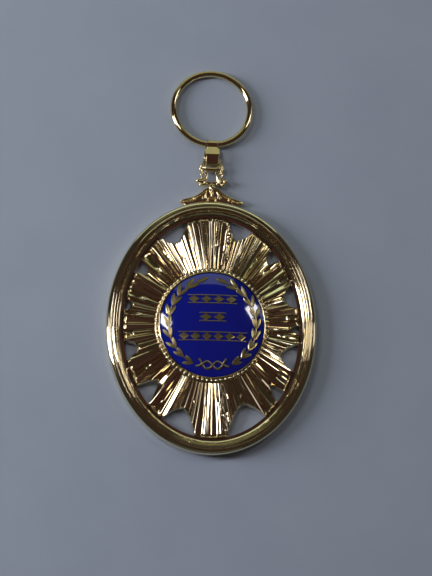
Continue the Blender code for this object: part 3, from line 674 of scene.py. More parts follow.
# %% [markdown]
# ## Bezel
#
# A shallow cup with a smooth lip next to the enamel and a row of beads outside it. Such beads are usually
# rolled into the metal with a wheel. Here one sphere is set along the oval at even steps, and the cup's
# section is carried round the same oval.

# %% Bezel
BEZEL_WIDTH = 27.0
BEZEL_HEIGHT = 27.7
BEZEL_BACK = 2.45
BEZEL_TOP = 3.58
BEADS = 76
BEAD_SIZE = 0.86
BEAD_INSET = 1.04
BEAD_LIFT = 0.56
# inward, above the back
CUP_SECTION = (
    (0.14, 0.0), (0.08, 0.06), (0.08, 0.22), (0.20, 0.34), (0.72, 0.40), (0.88, 0.55), (0.93, 0.98),
    (0.98, 1.08), (1.06, 1.13), (1.15, 1.12), (1.22, 1.04), (1.23, 0.50), (5.0, 0.45), (5.0, 0.0),
)


def bezel_tree(material):
    tree, start, end = new_tree("beads and cup", (
        ("Width", "NodeSocketFloat"), ("Height", "NodeSocketFloat"), ("Beads", "NodeSocketInt"),
        ("Bead Size", "NodeSocketFloat"), ("Bead Level", "NodeSocketFloat"), ("Inset", "NodeSocketFloat"),
    ))
    path = oval_curve(tree, 3 * BEADS, start.outputs["Width"], start.outputs["Height"])
    cup = sweep(tree, path, start.outputs["Geometry"])
    width = calc(tree, "SUBTRACT", start.outputs["Width"], start.outputs["Inset"])
    height = calc(tree, "SUBTRACT", start.outputs["Height"], start.outputs["Inset"])
    row = add(tree, "GeometryNodeTransform", {
        "Geometry": oval_curve(tree, 3 * BEADS, width, height),
        "Translation": xyz(tree, Z=start.outputs["Bead Level"]),
    })
    even = add(tree, "GeometryNodeResampleCurve", {"Curve": row.outputs[0], "Count": start.outputs["Beads"]})
    bead = add(tree, "GeometryNodeMeshUVSphere", {
        "Segments": 14, "Rings": 9, "Radius": calc(tree, "MULTIPLY", start.outputs["Bead Size"], 0.5),
    })
    beads = add(tree, "GeometryNodeInstanceOnPoints", {
        "Points": even.outputs[0], "Instance": bead.outputs[0],
    })
    both = add(tree, "GeometryNodeJoinGeometry")
    tree.links.new(cup, both.inputs[0])
    tree.links.new(beads.outputs[0], both.inputs[0])
    close_tree(tree, end, both.outputs[0], material)
    return tree


cup_line = [(-x, -(BEZEL_BACK + z), 0) for x, z in CUP_SECTION]
bezel = grow(
    "bezel_beads", poly_curve("cup section", [cup_line], closed=True), bezel_tree(ray_gilt),
    {"Width": BEZEL_WIDTH * MM, "Height": BEZEL_HEIGHT * MM, "Beads": BEADS,
     "Bead Size": BEAD_SIZE * MM, "Bead Level": (BEZEL_BACK + BEAD_LIFT) * MM, "Inset": BEAD_INSET * MM},
)
finish(bezel, ray_gilt, 50)
mark_hollows(bezel, 6)
print("bezel:", len(bezel.data.polygons), "faces,", BEADS, "beads")

# %% [markdown]
# ## Enamel disc
#
# Fired glass in a deep royal blue, with a hard gloss. The dome is fuller than a ball's cap: its middle is
# nearly flat and its edge turns down quickly, which is why the two soft boxes show as narrow bright marks
# close to its edge. One formula gives its height, so the gold that lies on it can use the same one. A
# scaled half ball would be too steep at its edge.

# %% Enamel
ENAMEL_WIDTH = 24.3
ENAMEL_HEIGHT = 25.0
ENAMEL_BACK = 2.95
ENAMEL_RIM = 3.40
ENAMEL_RISE = 1.30
FULLNESS = 2.6
DOME_RINGS = 26
DOME_STEPS = 144
POLE = 0.01


def fired_enamel():
    made = bpy.data.materials.new("royal blue enamel")
    made.use_nodes = True
    tree = made.node_tree
    shader = tree.nodes["Principled BSDF"]
    spot = add(tree, "ShaderNodeTexCoord").outputs["Object"]
    cloud = add(tree, "ShaderNodeTexNoise", {"Vector": spot, "Scale": 150.0, "Detail": 3.0})
    tone = add(tree, "ShaderNodeMix", {
        0: cloud.outputs["Fac"], 6: (0.0, 0.009, 0.31, 1), 7: (0.0, 0.016, 0.37, 1),
    }, data_type="RGBA")
    tree.links.new(tone.outputs[2], shader.inputs["Base Color"])
    ripple = add(tree, "ShaderNodeTexNoise", {"Vector": spot, "Scale": 260.0, "Detail": 1.0})
    bump = add(tree, "ShaderNodeBump", {
        "Height": ripple.outputs["Fac"], "Strength": 1.0, "Distance": 0.010 * MM,
    })
    tree.links.new(bump.outputs[0], shader.inputs["Normal"])
    shader.inputs["Roughness"].default_value = 0.06
    shader.inputs["IOR"].default_value = 1.80
    shader.inputs["Coat Weight"].default_value = 1.0
    shader.inputs["Coat Roughness"].default_value = 0.02
    return made


def dome(share):
    """The dome's level at a share of the way from its middle to its edge."""
    return ENAMEL_RIM + ENAMEL_RISE * (1 - min(share, 1.0) ** FULLNESS)


def make_enamel(material):
    shares = [math.sin(math.pi / 2 * i / DOME_RINGS) for i in range(1, DOME_RINGS + 1)]
    profile = [(POLE, dome(0))] + [(share * 0.997, dome(share)) for share in shares]
    profile += [(1.0, ENAMEL_RIM - 0.05), (1.0, ENAMEL_BACK), (POLE, ENAMEL_BACK)]
    turns = [2 * math.pi * k / DOME_STEPS for k in range(DOME_STEPS)]
    rings = [
        [(share * ENAMEL_WIDTH / 2 * math.cos(t), share * ENAMEL_HEIGHT / 2 * math.sin(t), level)
         for t in turns]
        for share, level in profile
    ]
    return finish(place("enamel_disc", skin("enamel_disc", rings)), material, 60)


blue_enamel = fired_enamel()
enamel = make_enamel(blue_enamel)
print("enamel:", len(enamel.data.polygons), "faces")

# %% [markdown]
# ## Laying gold on the dome
#
# The gold on the real disc lies in the glass and follows its curve. Here each ornament is made flat, and
# then every point is lifted by the height of the dome under it. A Shrinkwrap modifier could do that too,
# but a few arithmetic nodes keep the ornament's own thickness and need no second object.


# %% Laying on the dome
def lay_on_dome(tree, geometry, gap=0.06):
    """Lifts each point by the dome's height at its place, plus a small gap."""
    here = add(tree, "GeometryNodeInputPosition").outputs[0]
    parts = add(tree, "ShaderNodeSeparateXYZ", {0: here})
    squares = []
    for axis, size in (("X", ENAMEL_WIDTH), ("Y", ENAMEL_HEIGHT)):
        share = calc(tree, "MULTIPLY", parts.outputs[axis], 2 / (size * MM))
        squares.append(calc(tree, "POWER", calc(tree, "ABSOLUTE", share), 2.0))
    square = calc(tree, "ADD", *squares)
    fall = calc(tree, "POWER", calc(tree, "MINIMUM", square, 1.0), FULLNESS / 2)
    drop = calc(tree, "MULTIPLY", fall, -ENAMEL_RISE * MM)
    level = calc(tree, "ADD", drop, (ENAMEL_RIM + ENAMEL_RISE + gap) * MM)
    return add(tree, "GeometryNodeSetPosition", {
        "Geometry": geometry, "Offset": xyz(tree, Z=level),
    }).outputs[0]


# %% [markdown]
# ## Leafy branches
#
# Two branches rise from the foot of the disc. A leaf is one small mesh with a raised rib. The tree sets it
# in pairs along an arc, turned along the branch and splayed to each side, with one more leaf at the tip,
# and a fixed seed makes each lean a little differently. Instances are right for this, because all the
# leaves share one shape and only their places, turns and sizes differ.

# %% Leaf and branches
BRANCH_REACH = 0.85
BRANCH_START = -64
BRANCH_END = 67
LEAF_STATIONS = 10
LEAF_SPLAY = math.radians(20)
LEAF_WOBBLE = 0.14
LEAF_GROWTH = (0.80, 1.12)
STEM = 0.26
# along, half width, height
LEAF_ROWS = (
    (0.00, 0.05, 0.06),
    (0.12, 0.22, 0.14),
    (0.30, 0.40, 0.19),
    (0.52, 0.46, 0.20),
    (0.74, 0.42, 0.18),
    (0.92, 0.22, 0.12),
    (1.00, 0.04, 0.05),
)
# shares of the half width and of the height
LEAF_SECTION = ((-1, 0), (-0.55, 0.72), (-0.12, 0.62), (0, 1), (0.12, 0.62), (0.55, 0.72), (1, 0))
LEAF_LENGTH = 3.2


def leaf_mesh():
    """A leaf with a raised rib, along X from its foot."""
    return skin("leaf", [
        [(along * LEAF_LENGTH, a * half, b * height) for a, b in LEAF_SECTION]
        for along, half, height in LEAF_ROWS
    ])


def wreath_tree(material):
    tree, start, end = new_tree("leafy branches", (
        ("Nodes", "NodeSocketInt"), ("Splay", "NodeSocketFloat"), ("Stem", "NodeSocketFloat"),
        ("Seed", "NodeSocketInt"),
    ))
    whole = add(tree, "GeometryNodeJoinGeometry")
    size = (ENAMEL_WIDTH * MM, ENAMEL_HEIGHT * MM, 1.0)
    lens = add(tree, "GeometryNodeCurvePrimitiveCircle", {
        "Resolution": 10, "Radius": calc(tree, "MULTIPLY", start.outputs["Stem"], 0.5),
    })
    branches = ((BRANCH_START, BRANCH_END), (180 - BRANCH_START, 180 - BRANCH_END))
    for side, (first, last) in enumerate(branches):
        arc = add(tree, "GeometryNodeCurveArc", {
            "Resolution": 64, "Radius": BRANCH_REACH / 2, "Start Angle": math.radians(first),
            "Sweep Angle": math.radians(last - first),
        })
        branch = add(tree, "GeometryNodeTransform", {"Geometry": arc.outputs[0], "Scale": size})
        stem = add(tree, "GeometryNodeCurveToMesh", {
            "Curve": branch.outputs[0], "Profile Curve": lens.outputs[0], "Fill Caps": True,
        })
        tree.links.new(stem.outputs[0], whole.inputs[0])
        stations = add(tree, "GeometryNodeCurveToPoints", {
            "Curve": branch.outputs[0], "Count": start.outputs["Nodes"],
        })
        heading = add(tree, "FunctionNodeAlignRotationToVector", {
            "Vector": stations.outputs["Tangent"],
        }, axis="X", pivot_axis="Z")
        way = calc(tree, "DIVIDE", add(tree, "GeometryNodeInputIndex").outputs[0], start.outputs["Nodes"])
        least, most = LEAF_GROWTH
        growth = calc(tree, "ADD", calc(tree, "MULTIPLY", way, most - least), least)
        for turn in (-1, 0, 1):
            wobble = add(tree, "FunctionNodeRandomValue", {
                2: -LEAF_WOBBLE, 3: LEAF_WOBBLE, "ID": add(tree, "GeometryNodeInputIndex").outputs[0],
                "Seed": calc(tree, "ADD", start.outputs["Seed"], 7.0 * side + turn),
            }, data_type="FLOAT")
            splay = calc(tree, "MULTIPLY", start.outputs["Splay"], float(turn))
            swing = calc(tree, "ADD", splay, wobble.outputs[1])
            spread = add(tree, "FunctionNodeRotateRotation", {
                "Rotation": heading.outputs[0],
                "Rotate By": add(tree, "FunctionNodeEulerToRotation", {0: xyz(tree, Z=swing)}).outputs[0],
            }, rotation_space="LOCAL")
            pick = add(tree, "FunctionNodeCompare", {
                2: add(tree, "GeometryNodeInputIndex").outputs[0],
                3: calc(tree, "SUBTRACT", start.outputs["Nodes"], 1.0),
            }, data_type="INT", operation="EQUAL" if turn == 0 else "LESS_THAN")
            leaves = add(tree, "GeometryNodeInstanceOnPoints", {
                "Points": stations.outputs["Points"], "Instance": start.outputs["Geometry"],
                "Rotation": spread.outputs[0], "Selection": pick.outputs[0], "Scale": growth,
            })
            tree.links.new(leaves.outputs[0], whole.inputs[0])
    real = add(tree, "GeometryNodeRealizeInstances", {"Geometry": whole.outputs[0]})
    close_tree(tree, end, lay_on_dome(tree, real.outputs[0]), material)
    return tree


wreath = grow("wreath_leaves", leaf_mesh(), wreath_tree(inlay_gold),
              {"Nodes": LEAF_STATIONS, "Splay": LEAF_SPLAY, "Stem": STEM * MM, "Seed": 4})
finish(wreath, inlay_gold, 30)
print("wreath:", len(wreath.data.polygons), "faces,", [round(v / MM, 1) for v in wreath.dimensions])

# %% [markdown]
# ## Ribbon knot
#
# A looped ribbon ties the branches at the foot. It is drawn as two lines that wave against each other near
# the foot of the disc, and one rises over the other where they cross. A flat oval section is swept along
# both, because a ribbon of cast gold has no hard edges.

# %% Ribbon knot
KNOT_WIDTH = 7.4
KNOT_HEIGHT = 1.7
KNOT_PLACE = 0.80
KNOT_WAVES = 1.5
KNOT_STEPS = 40
KNOT_CROSSING = 0.10
KNOT_GAP = 0.14
RIBBON_WIDTH = 0.42
RIBBON_THICKNESS = 0.14


def knot_line(sign):
    """One of the two ribbons, which wave against each other along the foot of the wreath."""
    line = []
    for i in range(KNOT_STEPS + 1):
        share = i / KNOT_STEPS
        turn = math.radians(270) + (share - 0.5) * KNOT_WIDTH / (KNOT_PLACE * ENAMEL_WIDTH / 2)
        phase = 2 * math.pi * KNOT_WAVES * (share - 0.5)
        wave = sign * math.sin(phase) * KNOT_HEIGHT / 2
        x = KNOT_PLACE * ENAMEL_WIDTH / 2 * math.cos(turn)
        y = KNOT_PLACE * ENAMEL_HEIGHT / 2 * math.sin(turn)
        away = Vector((math.cos(turn), math.sin(turn)))
        line.append((x - wave * away.x, y - wave * away.y, KNOT_CROSSING * sign * math.cos(phase)))
    return line


def ribbon_tree(material):
    tree, start, end = new_tree("ribbon", (("Width", "NodeSocketFloat"), ("Thickness", "NodeSocketFloat")))
    strap = oval_curve(tree, 10, start.outputs["Width"], start.outputs["Thickness"])
    ribbons = sweep(tree, start.outputs["Geometry"], strap, caps=True)
    close_tree(tree, end, lay_on_dome(tree, ribbons, KNOT_GAP), material)
    return tree


knot = grow("wreath_knot", poly_curve("knot lines", [knot_line(1), knot_line(-1)]), ribbon_tree(inlay_gold),
            {"Width": RIBBON_WIDTH * MM, "Thickness": RIBBON_THICKNESS * MM})
finish(knot, inlay_gold, 40)
print("knot:", len(knot.data.polygons), "faces")

# %% [markdown]
# ## Rows of lozenges
#
# Three short rows of plain ornament stand in the middle of the disc. A row is a line of points with one
# lozenge on each and a thin rule above and below. The lozenge has sloping sides, a raised border and a
# small pyramid in its sunk middle, because a struck figure catches the light on its slopes. One tree makes
# all three rows from their lengths and counts.

# %% Ornament rows
# name, place and length as shares of the disc, lozenges
ROWS = (
    ("upper", 0.47, 0.48, 4),
    ("middle", 0.12, 0.26, 2),
    ("lower", -0.25, 0.66, 6),
)
LOZENGE_HEIGHT = 2.2
RULE_WIDTH = 0.26
# share of the size, level
LOZENGE_STEPS = ((1.0, 0.0), (0.80, 0.17), (0.60, 0.17), (0.44, 0.06), (0.30, 0.06), (0.06, 0.16))
SIDE_STEPS = 4


def lozenge_mesh(width, height):
    """A lozenge with a raised border, flat on its foot."""
    rings = []
    for size, level in LOZENGE_STEPS:
        half_x, half_y = size * width / 2, size * height / 2
        corners = [(half_x, 0), (0, half_y), (-half_x, 0), (0, -half_y)]
        rings.append([
            (x0 + (x1 - x0) * k / SIDE_STEPS, y0 + (y1 - y0) * k / SIDE_STEPS, level)
            for (x0, y0), (x1, y1) in zip(corners, corners[1:] + corners[:1])
            for k in range(SIDE_STEPS)
        ])
    return skin("lozenge", rings)


def row_tree(material):
    tree, start, end = new_tree("row of lozenges", (
        ("Count", "NodeSocketInt"), ("Length", "NodeSocketFloat"), ("Place", "NodeSocketFloat"),
        ("Height", "NodeSocketFloat"), ("Rule", "NodeSocketFloat"),
    ))
    pitch = calc(tree, "DIVIDE", start.outputs["Length"], start.outputs["Count"])
    first = calc(tree, "MULTIPLY", calc(tree, "SUBTRACT", start.outputs["Length"], pitch), -0.5)
    line = add(tree, "GeometryNodeMeshLine", {
        "Count": start.outputs["Count"], "Offset": xyz(tree, X=pitch),
        "Start Location": xyz(tree, X=first, Y=start.outputs["Place"]),
    })
    whole = add(tree, "GeometryNodeJoinGeometry")
    figures = add(tree, "GeometryNodeInstanceOnPoints", {
        "Points": line.outputs[0], "Instance": start.outputs["Geometry"],
    })
    tree.links.new(figures.outputs[0], whole.inputs[0])
    wire = add(tree, "GeometryNodeCurvePrimitiveCircle", {
        "Resolution": 8, "Radius": calc(tree, "MULTIPLY", start.outputs["Rule"], 0.5),
    })
    flat = add(tree, "GeometryNodeTransform", {"Geometry": wire.outputs[0], "Scale": (1.0, 0.55, 1.0)})
    half = calc(tree, "MULTIPLY", start.outputs["Length"], 0.5)
    for side in (1.0, -1.0):
        rise = calc(tree, "MULTIPLY", start.outputs["Height"], 0.5 * side)
        level = calc(tree, "ADD", start.outputs["Place"], rise)
        ends = [xyz(tree, X=calc(tree, "MULTIPLY", half, sign), Y=level) for sign in (-1.0, 1.0)]
        rule = add(tree, "GeometryNodeCurvePrimitiveLine", {"Start": ends[0], "End": ends[1]})
        fine = add(tree, "GeometryNodeResampleCurve", {"Curve": rule.outputs[0], "Count": 33})
        tree.links.new(sweep(tree, fine.outputs[0], flat.outputs[0], caps=True), whole.inputs[0])
    real = add(tree, "GeometryNodeRealizeInstances", {"Geometry": whole.outputs[0]})
    close_tree(tree, end, lay_on_dome(tree, real.outputs[0]), material)
    return tree


lozenge_row = row_tree(inlay_gold)
ornaments = {}
for name, row_place, length, count in ROWS:
    width = 0.94 * length * ENAMEL_WIDTH / count
    ornament = grow(
        "ornament_row_" + name, lozenge_mesh(width, 0.80 * LOZENGE_HEIGHT), lozenge_row,
        {"Count": count, "Length": length * ENAMEL_WIDTH * MM, "Place": row_place * ENAMEL_HEIGHT / 2 * MM,
         "Height": LOZENGE_HEIGHT * MM - RULE_WIDTH * MM, "Rule": RULE_WIDTH * MM},
    )
    ornaments[name] = finish(ornament, inlay_gold, 25)
    size = [round(v / MM, 2) for v in ornament.dimensions]
    print(name, "row:", len(ornament.data.polygons), "faces,", size)

# %% [markdown]
# ## Sunburst plate
#
# The real plate is struck, with rays of uneven width side by side. Above and below the disc they are narrow
# rounded flutes, some of which part in two on their way out, and on the flanks most are wider flat facets.
# Thirteen gaps are pierced between their ends and a flat rim. Cutting the gaps out would leave ragged edges
# on a polished surface, so the plate is woven instead, from columns of points that run outwards along the
# rays. First comes the plan of the rays, drawn with a fixed seed.

# %% Plan of the rays
RAYS = 96
RAY_SEED = 11
UNEVEN = 0.16
FLUTED_MIDDLES = (90, 270)
FLUTED_REACH = 38
WIDE_FACETS = (153, 14, 205, 335)
WIDE_REACH = 2.6
FACET_SHARE = 0.62
WHOLE = 9.0


def angle_between(turn, places):
    """The angle from a direction to the nearest of the places, in degrees."""
    return min(abs((turn - place_at + 180) % 360 - 180) for place_at in places)


def ray_plan():
    """For each ray its angles, its crest's start and end, its height, where it parts, and if it's fluted."""
    dice = np.random.default_rng(RAY_SEED)
    edges = (np.arange(RAYS) + dice.uniform(-UNEVEN, UNEVEN, RAYS)) * 360 / RAYS
    edges = np.append(edges, edges[0] + 360)
    plan = []
    for i in range(RAYS):
        middle = (edges[i] + edges[i + 1]) / 2
        fluted = angle_between(middle, FLUTED_MIDDLES) < FLUTED_REACH
        third = i % 3 == 1
        crest = dice.uniform(0.36, 0.60)
        flat = dice.uniform(0.02, 0.16)
        split = dice.uniform(0.35, 0.75) if third else WHOLE
        lift = 1.0
        if fluted and third:
            split = dice.uniform(0.02, 0.45)
            lift = dice.uniform(0.60, 0.95)
        elif fluted:
            crest, flat = (0.24 if dice.uniform() < 0.5 else 0.76), 0.05
            lift = dice.uniform(0.55, 0.90)
        elif dice.uniform() < FACET_SHARE:
            crest, flat = dice.uniform(0.42, 0.58), dice.uniform(0.50, 0.70)
        if angle_between(middle, WIDE_FACETS) < WIDE_REACH:
            crest, flat, split = 0.5, 0.72, WHOLE
        lift = lift * dice.uniform(0.84, 1.0)
        plan.append((edges[i], edges[i + 1], crest - flat / 2, crest + flat / 2, lift, split, fluted))
    return plan


rays = ray_plan()
print(len(rays), "rays,", sum(row[-1] for row in rays), "of them flutes")

# %% [markdown]
# ## Columns across the rays
#
# Each ray gets twelve columns of points. A column's place across its ray says how high it stands: a facet
# rises straight to a flat crest, a flute is a rounded wave, and a ray that parts goes over to two crests on
# its way out. Both forms are worked out for every column, and the next step mixes them.

# %% Columns
RAY_SAMPLES = (0.0, 0.05, 0.13, 0.24, 0.36, 0.44, 0.50, 0.56, 0.64, 0.76, 0.87, 0.95)
FLUTE_ROUNDNESS = 0.9
FURROW = 0.25


def ray_columns(plan):
    """For each column its angle, its heights on one crest and on two, and its ray's height and parting."""
    columns = []
    for first, last, crest_in, crest_out, lift, split, fluted in plan:
        for phase in RAY_SAMPLES:
            single = np.interp(phase, (0, crest_in, crest_out, 1), (0, 1, 0.97, 0))
            double = np.interp(phase, (0, 0.24, 0.50, 0.76, 1), (0, 0.92, FURROW, 0.98, 0))
            if fluted:
                lean = 0.6 if crest_in < 0.5 else 1.5
                single = math.sin(math.pi * phase ** lean) ** FLUTE_ROUNDNESS
                pair = abs(math.sin(2 * math.pi * phase)) ** FLUTE_ROUNDNESS
                double = max(pair, FURROW * math.sin(math.pi * phase))
            columns.append((first + (last - first) * phase, single, double, lift, split))
    return columns


columns = ray_columns(rays)
print(len(columns), "columns")

# %% [markdown]
# ## Gaps and the ends of the rays
#
# A little over half of the columns run into the rim. The others meet a gap and end there in a bevelled
# tip. Each gap is given by its angles and by how far the rays reach at its sides and at its root, where they
# are shortest. A crest reaches a little further than a valley, which makes the edge of the gap toothed.

# %% Gaps
# first and last angle, angle of the root, reach at the sides and at the root (shares of the frame's oval)
GAP_ROWS = (
    (-2.9, 1.4, -0.9, 0.828, 0.765),
    (10.6, 23.5, 17.1, 0.842, 0.748),
    (38.8, 46.6, 42.7, 0.862, 0.756),
    (61.3, 78.9, 70.5, 0.886, 0.752),
    (106.7, 126.9, 117.8, 0.882, 0.752),
    (143.3, 151.5, 147.3, 0.852, 0.750),
    (166.8, 172.4, 169.9, 0.848, 0.786),
    (188.7, 198.7, 193.7, 0.842, 0.730),
    (213.7, 225.0, 220.1, 0.846, 0.682),
    (236.8, 258.5, 247.2, 0.854, 0.706),
    (281.3, 307.4, 296.4, 0.852, 0.684),
    (318.1, 324.7, 321.6, 0.842, 0.730),
    (336.9, 351.0, 342.5, 0.818, 0.708),
)
PLATE_BACK = 0.65
PLATE_RIM = 1.45
PLATE_RISE = 1.45
PLATE_EDGE_INSET = 2.45
RIM_INSET = 4.0
SEAT_PLAY = 0.2
LEAST_RAY = 3
NOTCH = 0.30
TIP_BEVEL = 0.55
TIP_LEVEL = 1.10
RIM_BEVEL = 0.85
CREST_BEVEL = 0.25


def oval_share(x, y, width, height):
    """How far out a point lies, as a share of an oval."""
    return np.hypot(2 * x / width, 2 * y / height)


def gap_share(turn):
    """Where a ray ends at an angle, as a share of the frame's oval, or None outside the gaps."""
    for first, last, root, outer, inner in GAP_ROWS:
        side = last if (turn - root) % 360 < 180 else first
        away = ((turn - root + 180) % 360 - 180) / ((side - root + 180) % 360 - 180)
        if 0 <= away < 1:
            return inner + (outer - inner) * away ** 2
    return None


def column_end(column, unit, root_reach, rim_reach):
    """Where a column ends, how long its bevel is, at what level it ends, and if that is in a gap."""
    turn, single, double, _, split = column
    share = gap_share(turn % 360)
    if share is None:
        return rim_reach, RIM_BEVEL - CREST_BEVEL * single, PLATE_RIM, False
    reach = float(share / oval_share(unit.x, unit.y, FRAME_WIDTH, FRAME_HEIGHT))
    reach = min(reach, rim_reach - 0.02)
    notch = NOTCH * (1 - double if split < 1 else 1 - single)
    return max(reach - notch, root_reach + LEAST_RAY), TIP_BEVEL, TIP_LEVEL, True


in_gaps = sum(gap_share(column[0] % 360) is not None for column in columns)
print(len(GAP_ROWS), "gaps,", in_gaps, "of", len(columns), "columns end in one")

# %% [markdown]
# ## Height along a column
#
# The rays fall from the disc to the rim, and the valleys fall with them, so the relief is about as deep at
# the rim as at the disc. At two places the crests have a granular skin. A column also carries the foot of
# its end and its piece of the flat rim, so that the weaving has every point it needs.

# %% Column points
STEPS_OUT = np.concatenate([np.linspace(0, 0.62, 8), np.linspace(0.66, 1.0, 15)])
# share of the way out, crest, valley
RAY_ROWS = ((0.0, 1.00, 0.68), (0.5, 0.78, 0.45), (1.0, 0.52, 0.18))
PARTING = 0.10
GRANULAR_RAYS = (77, 281)
GRANULAR_REACH = 2.2
GRAIN = 0.09


def plate_column(column, dice):
    """A column's points on top, the foot of its end, its section of the rim, and if it ends in a gap."""
    turn, single, double, lift, split = column
    rim_edge = oval(FRAME_WIDTH, FRAME_HEIGHT, PLATE_EDGE_INSET, math.radians(turn))
    rim_inside = oval(FRAME_WIDTH, FRAME_HEIGHT, RIM_INSET, math.radians(turn))
    unit = rim_edge.normalized()
    root = unit / oval_share(unit.x, unit.y, BEZEL_WIDTH + SEAT_PLAY, BEZEL_HEIGHT + SEAT_PLAY)
    reach, bevel, foot, in_gap = column_end(column, unit, root.length, rim_inside.length)
    granular = angle_between(turn, GRANULAR_RAYS) < GRANULAR_REACH
    share_out, crests, valleys = zip(*RAY_ROWS)
    top = []
    for outward in STEPS_OUT:
        crest, valley = np.interp(outward, share_out, crests), np.interp(outward, share_out, valleys)
        along = root.length + (reach - bevel - root.length) * outward
        full = (along - root.length) / (rim_inside.length - 0.6 - root.length)
        parted = float(np.clip((full - split) / PARTING, 0, 1))
        shape = single + (double - single) * parted
        level = PLATE_RIM + PLATE_RISE * (valley + (crest - valley) * shape * lift)
        if granular and shape > 0.25:
            level += GRAIN * dice.uniform(-1, 1)
        spot = unit * along
        top.append((spot.x, spot.y, max(level, PLATE_RIM + 0.05)))
    end = unit * reach
    top.append(tuple(0.45 * a + 0.55 * b for a, b in zip(top[-1], (end.x, end.y, foot + 0.25))))
    top.append((end.x, end.y, foot))
    rim = [
        (rim_inside.x, rim_inside.y, PLATE_RIM), (rim_edge.x, rim_edge.y, PLATE_RIM),
        (rim_edge.x, rim_edge.y, PLATE_BACK), (rim_inside.x, rim_inside.y, PLATE_BACK),
    ]
    return top, (end.x, end.y, PLATE_BACK), rim, in_gap


grain = np.random.default_rng(RAY_SEED + 1)
profiles = [plate_column(column, grain) for column in columns]
highest = max(level for top, *_ in profiles for _, _, level in top)
print("the rays reach", round(highest, 2), "mm above the table")

# %% [markdown]
# ## Weaving the plate
#
# The top, the underside, the walls of the gaps, the rim, the seat under the bezel and the boss on the back
# are woven from the same columns, so neighbours always share their points. The plate comes out as one
# closed skin, and the count of open edges that is printed has to be zero.

# %% Weaving
BOSS_RADIUS = 8.0
BOSS_CHAMFER = 0.15
SEAT_SHARE = 0.62


def weave_plate(columns, profiles):
    """The closed mesh of the plate, and how many of its edges are open."""
    work = bmesh.new()

    def point(place_at):
        return work.verts.new(Vector(place_at) * MM)

    seat, boss_edge, boss_wall, middle = [], [], [], []
    for turn, *_ in columns:
        toward = oval(FRAME_WIDTH, FRAME_HEIGHT, PLATE_EDGE_INSET, math.radians(turn)).normalized()
        reach = 1 / oval_share(toward.x, toward.y, BEZEL_WIDTH, BEZEL_HEIGHT) + 0.04
        seat.append(point((toward.x * reach, toward.y * reach, PLATE_RIM + SEAT_SHARE * PLATE_RISE)))
        for ring_of_points, radius, level in (
            (boss_edge, BOSS_RADIUS, PLATE_BACK),
            (boss_wall, BOSS_RADIUS, BOSS_CHAMFER),
            (middle, BOSS_RADIUS - BOSS_CHAMFER, 0.0),
        ):
            ring_of_points.append(point((toward.x * radius, toward.y * radius, level)))
    tops = [[point(p) for p in top] for top, *_ in profiles]
    lows = [point(low) for _, low, _, _ in profiles]
    gaps = [in_gap for *_, in_gap in profiles]
    rims = []
    for top, low, (_, _, rim, in_gap) in zip(tops, lows, profiles):
        rims.append([point(p) for p in rim] if in_gap else [top[-1], point(rim[1]), point(rim[2]), low])
    count = len(columns)
    for i in range(count):
        j = (i + 1) % count
        work.faces.new((seat[i], tops[i][0], tops[j][0], seat[j]))
        for k in range(len(tops[i]) - 1):
            work.faces.new((tops[i][k], tops[i][k + 1], tops[j][k + 1], tops[j][k]))
        for inner, outer in ((lows, boss_edge), (boss_edge, boss_wall), (boss_wall, middle)):
            work.faces.new((inner[i], outer[i], outer[j], inner[j]))
        for k in range(3):
            work.faces.new((rims[i][k], rims[i][k + 1], rims[j][k + 1], rims[j][k]))
        if gaps[i] or gaps[j]:
            work.faces.new((tops[i][-1], lows[i], lows[j], tops[j][-1]))
            work.faces.new((rims[i][3], rims[i][0], rims[j][0], rims[j][3]))
    work.faces.new(seat)
    work.faces.new(middle)
    bmesh.ops.recalc_face_normals(work, faces=work.faces)
    open_edges = sum(not edge.is_manifold for edge in work.edges)
    mesh = bpy.data.meshes.new("sunburst_rays")
    work.to_mesh(mesh)
    work.free()
    return mesh, open_edges


plate_mesh, open_edges = weave_plate(columns, profiles)
plate = finish(place("sunburst_rays", plate_mesh), ray_gilt, 36)
mark_hollows(plate, 6, 1)
print("plate:", len(plate.data.polygons), "faces,", open_edges, "open edges")

# %% [markdown]
# ## Finial
#
# The finial is cast, so nothing in it has a hard edge. It is blocked out the way a wax model is, from
# tapered rolls and balls pressed onto a web, and then a voxel remesh melts them into one skin. Sculpting by
# hand would do it too, but a list of rolls can be read, measured and changed. These are the tools of the wax
# bench: a roll, a ball, a slab, and the warm knife that melts them together.

# %% Wax tools
ROLL_STEPS = 12
ROLL_END_SHARES = (0.3, 0.7, 0.97)
BALL_RINGS = 12
BALL_STEPS = 16


def roll(name, line):
    """A tapered roll along a line of (x, y, level, radius) rows, with rounded ends."""
    rows = round_off([tuple(row) for row in line], 4)
    points = [Vector(row[:3]) for row in rows]
    rings = []

    def circle(middle, toward, radius):
        side = toward.cross(Vector((0, 0, 1)))
        side = side.normalized() if side.length > 1e-6 else Vector((1, 0, 0))
        rise = side.cross(toward).normalized()
        turns = [2 * math.pi * k / ROLL_STEPS for k in range(ROLL_STEPS)]
        return [tuple(middle + radius * (math.cos(t) * side + math.sin(t) * rise)) for t in turns]

    heading = (points[1] - points[0]).normalized()
    for share in reversed(ROLL_END_SHARES):
        back = rows[0][3] * math.sin(math.acos(1 - share))
        rings.append(circle(points[0] - heading * back, heading, rows[0][3] * math.sqrt(1 - share**2)))
    for i, point in enumerate(points):
        ahead = points[min(i + 1, len(points) - 1)] - points[max(i - 1, 0)]
        rings.append(circle(point, ahead.normalized(), rows[i][3]))
    heading = (points[-1] - points[-2]).normalized()
    for share in ROLL_END_SHARES:
        ahead = rows[-1][3] * share
        rings.append(circle(points[-1] + heading * ahead, heading, rows[-1][3] * math.sqrt(1 - share**2)))
    return skin(name, rings)


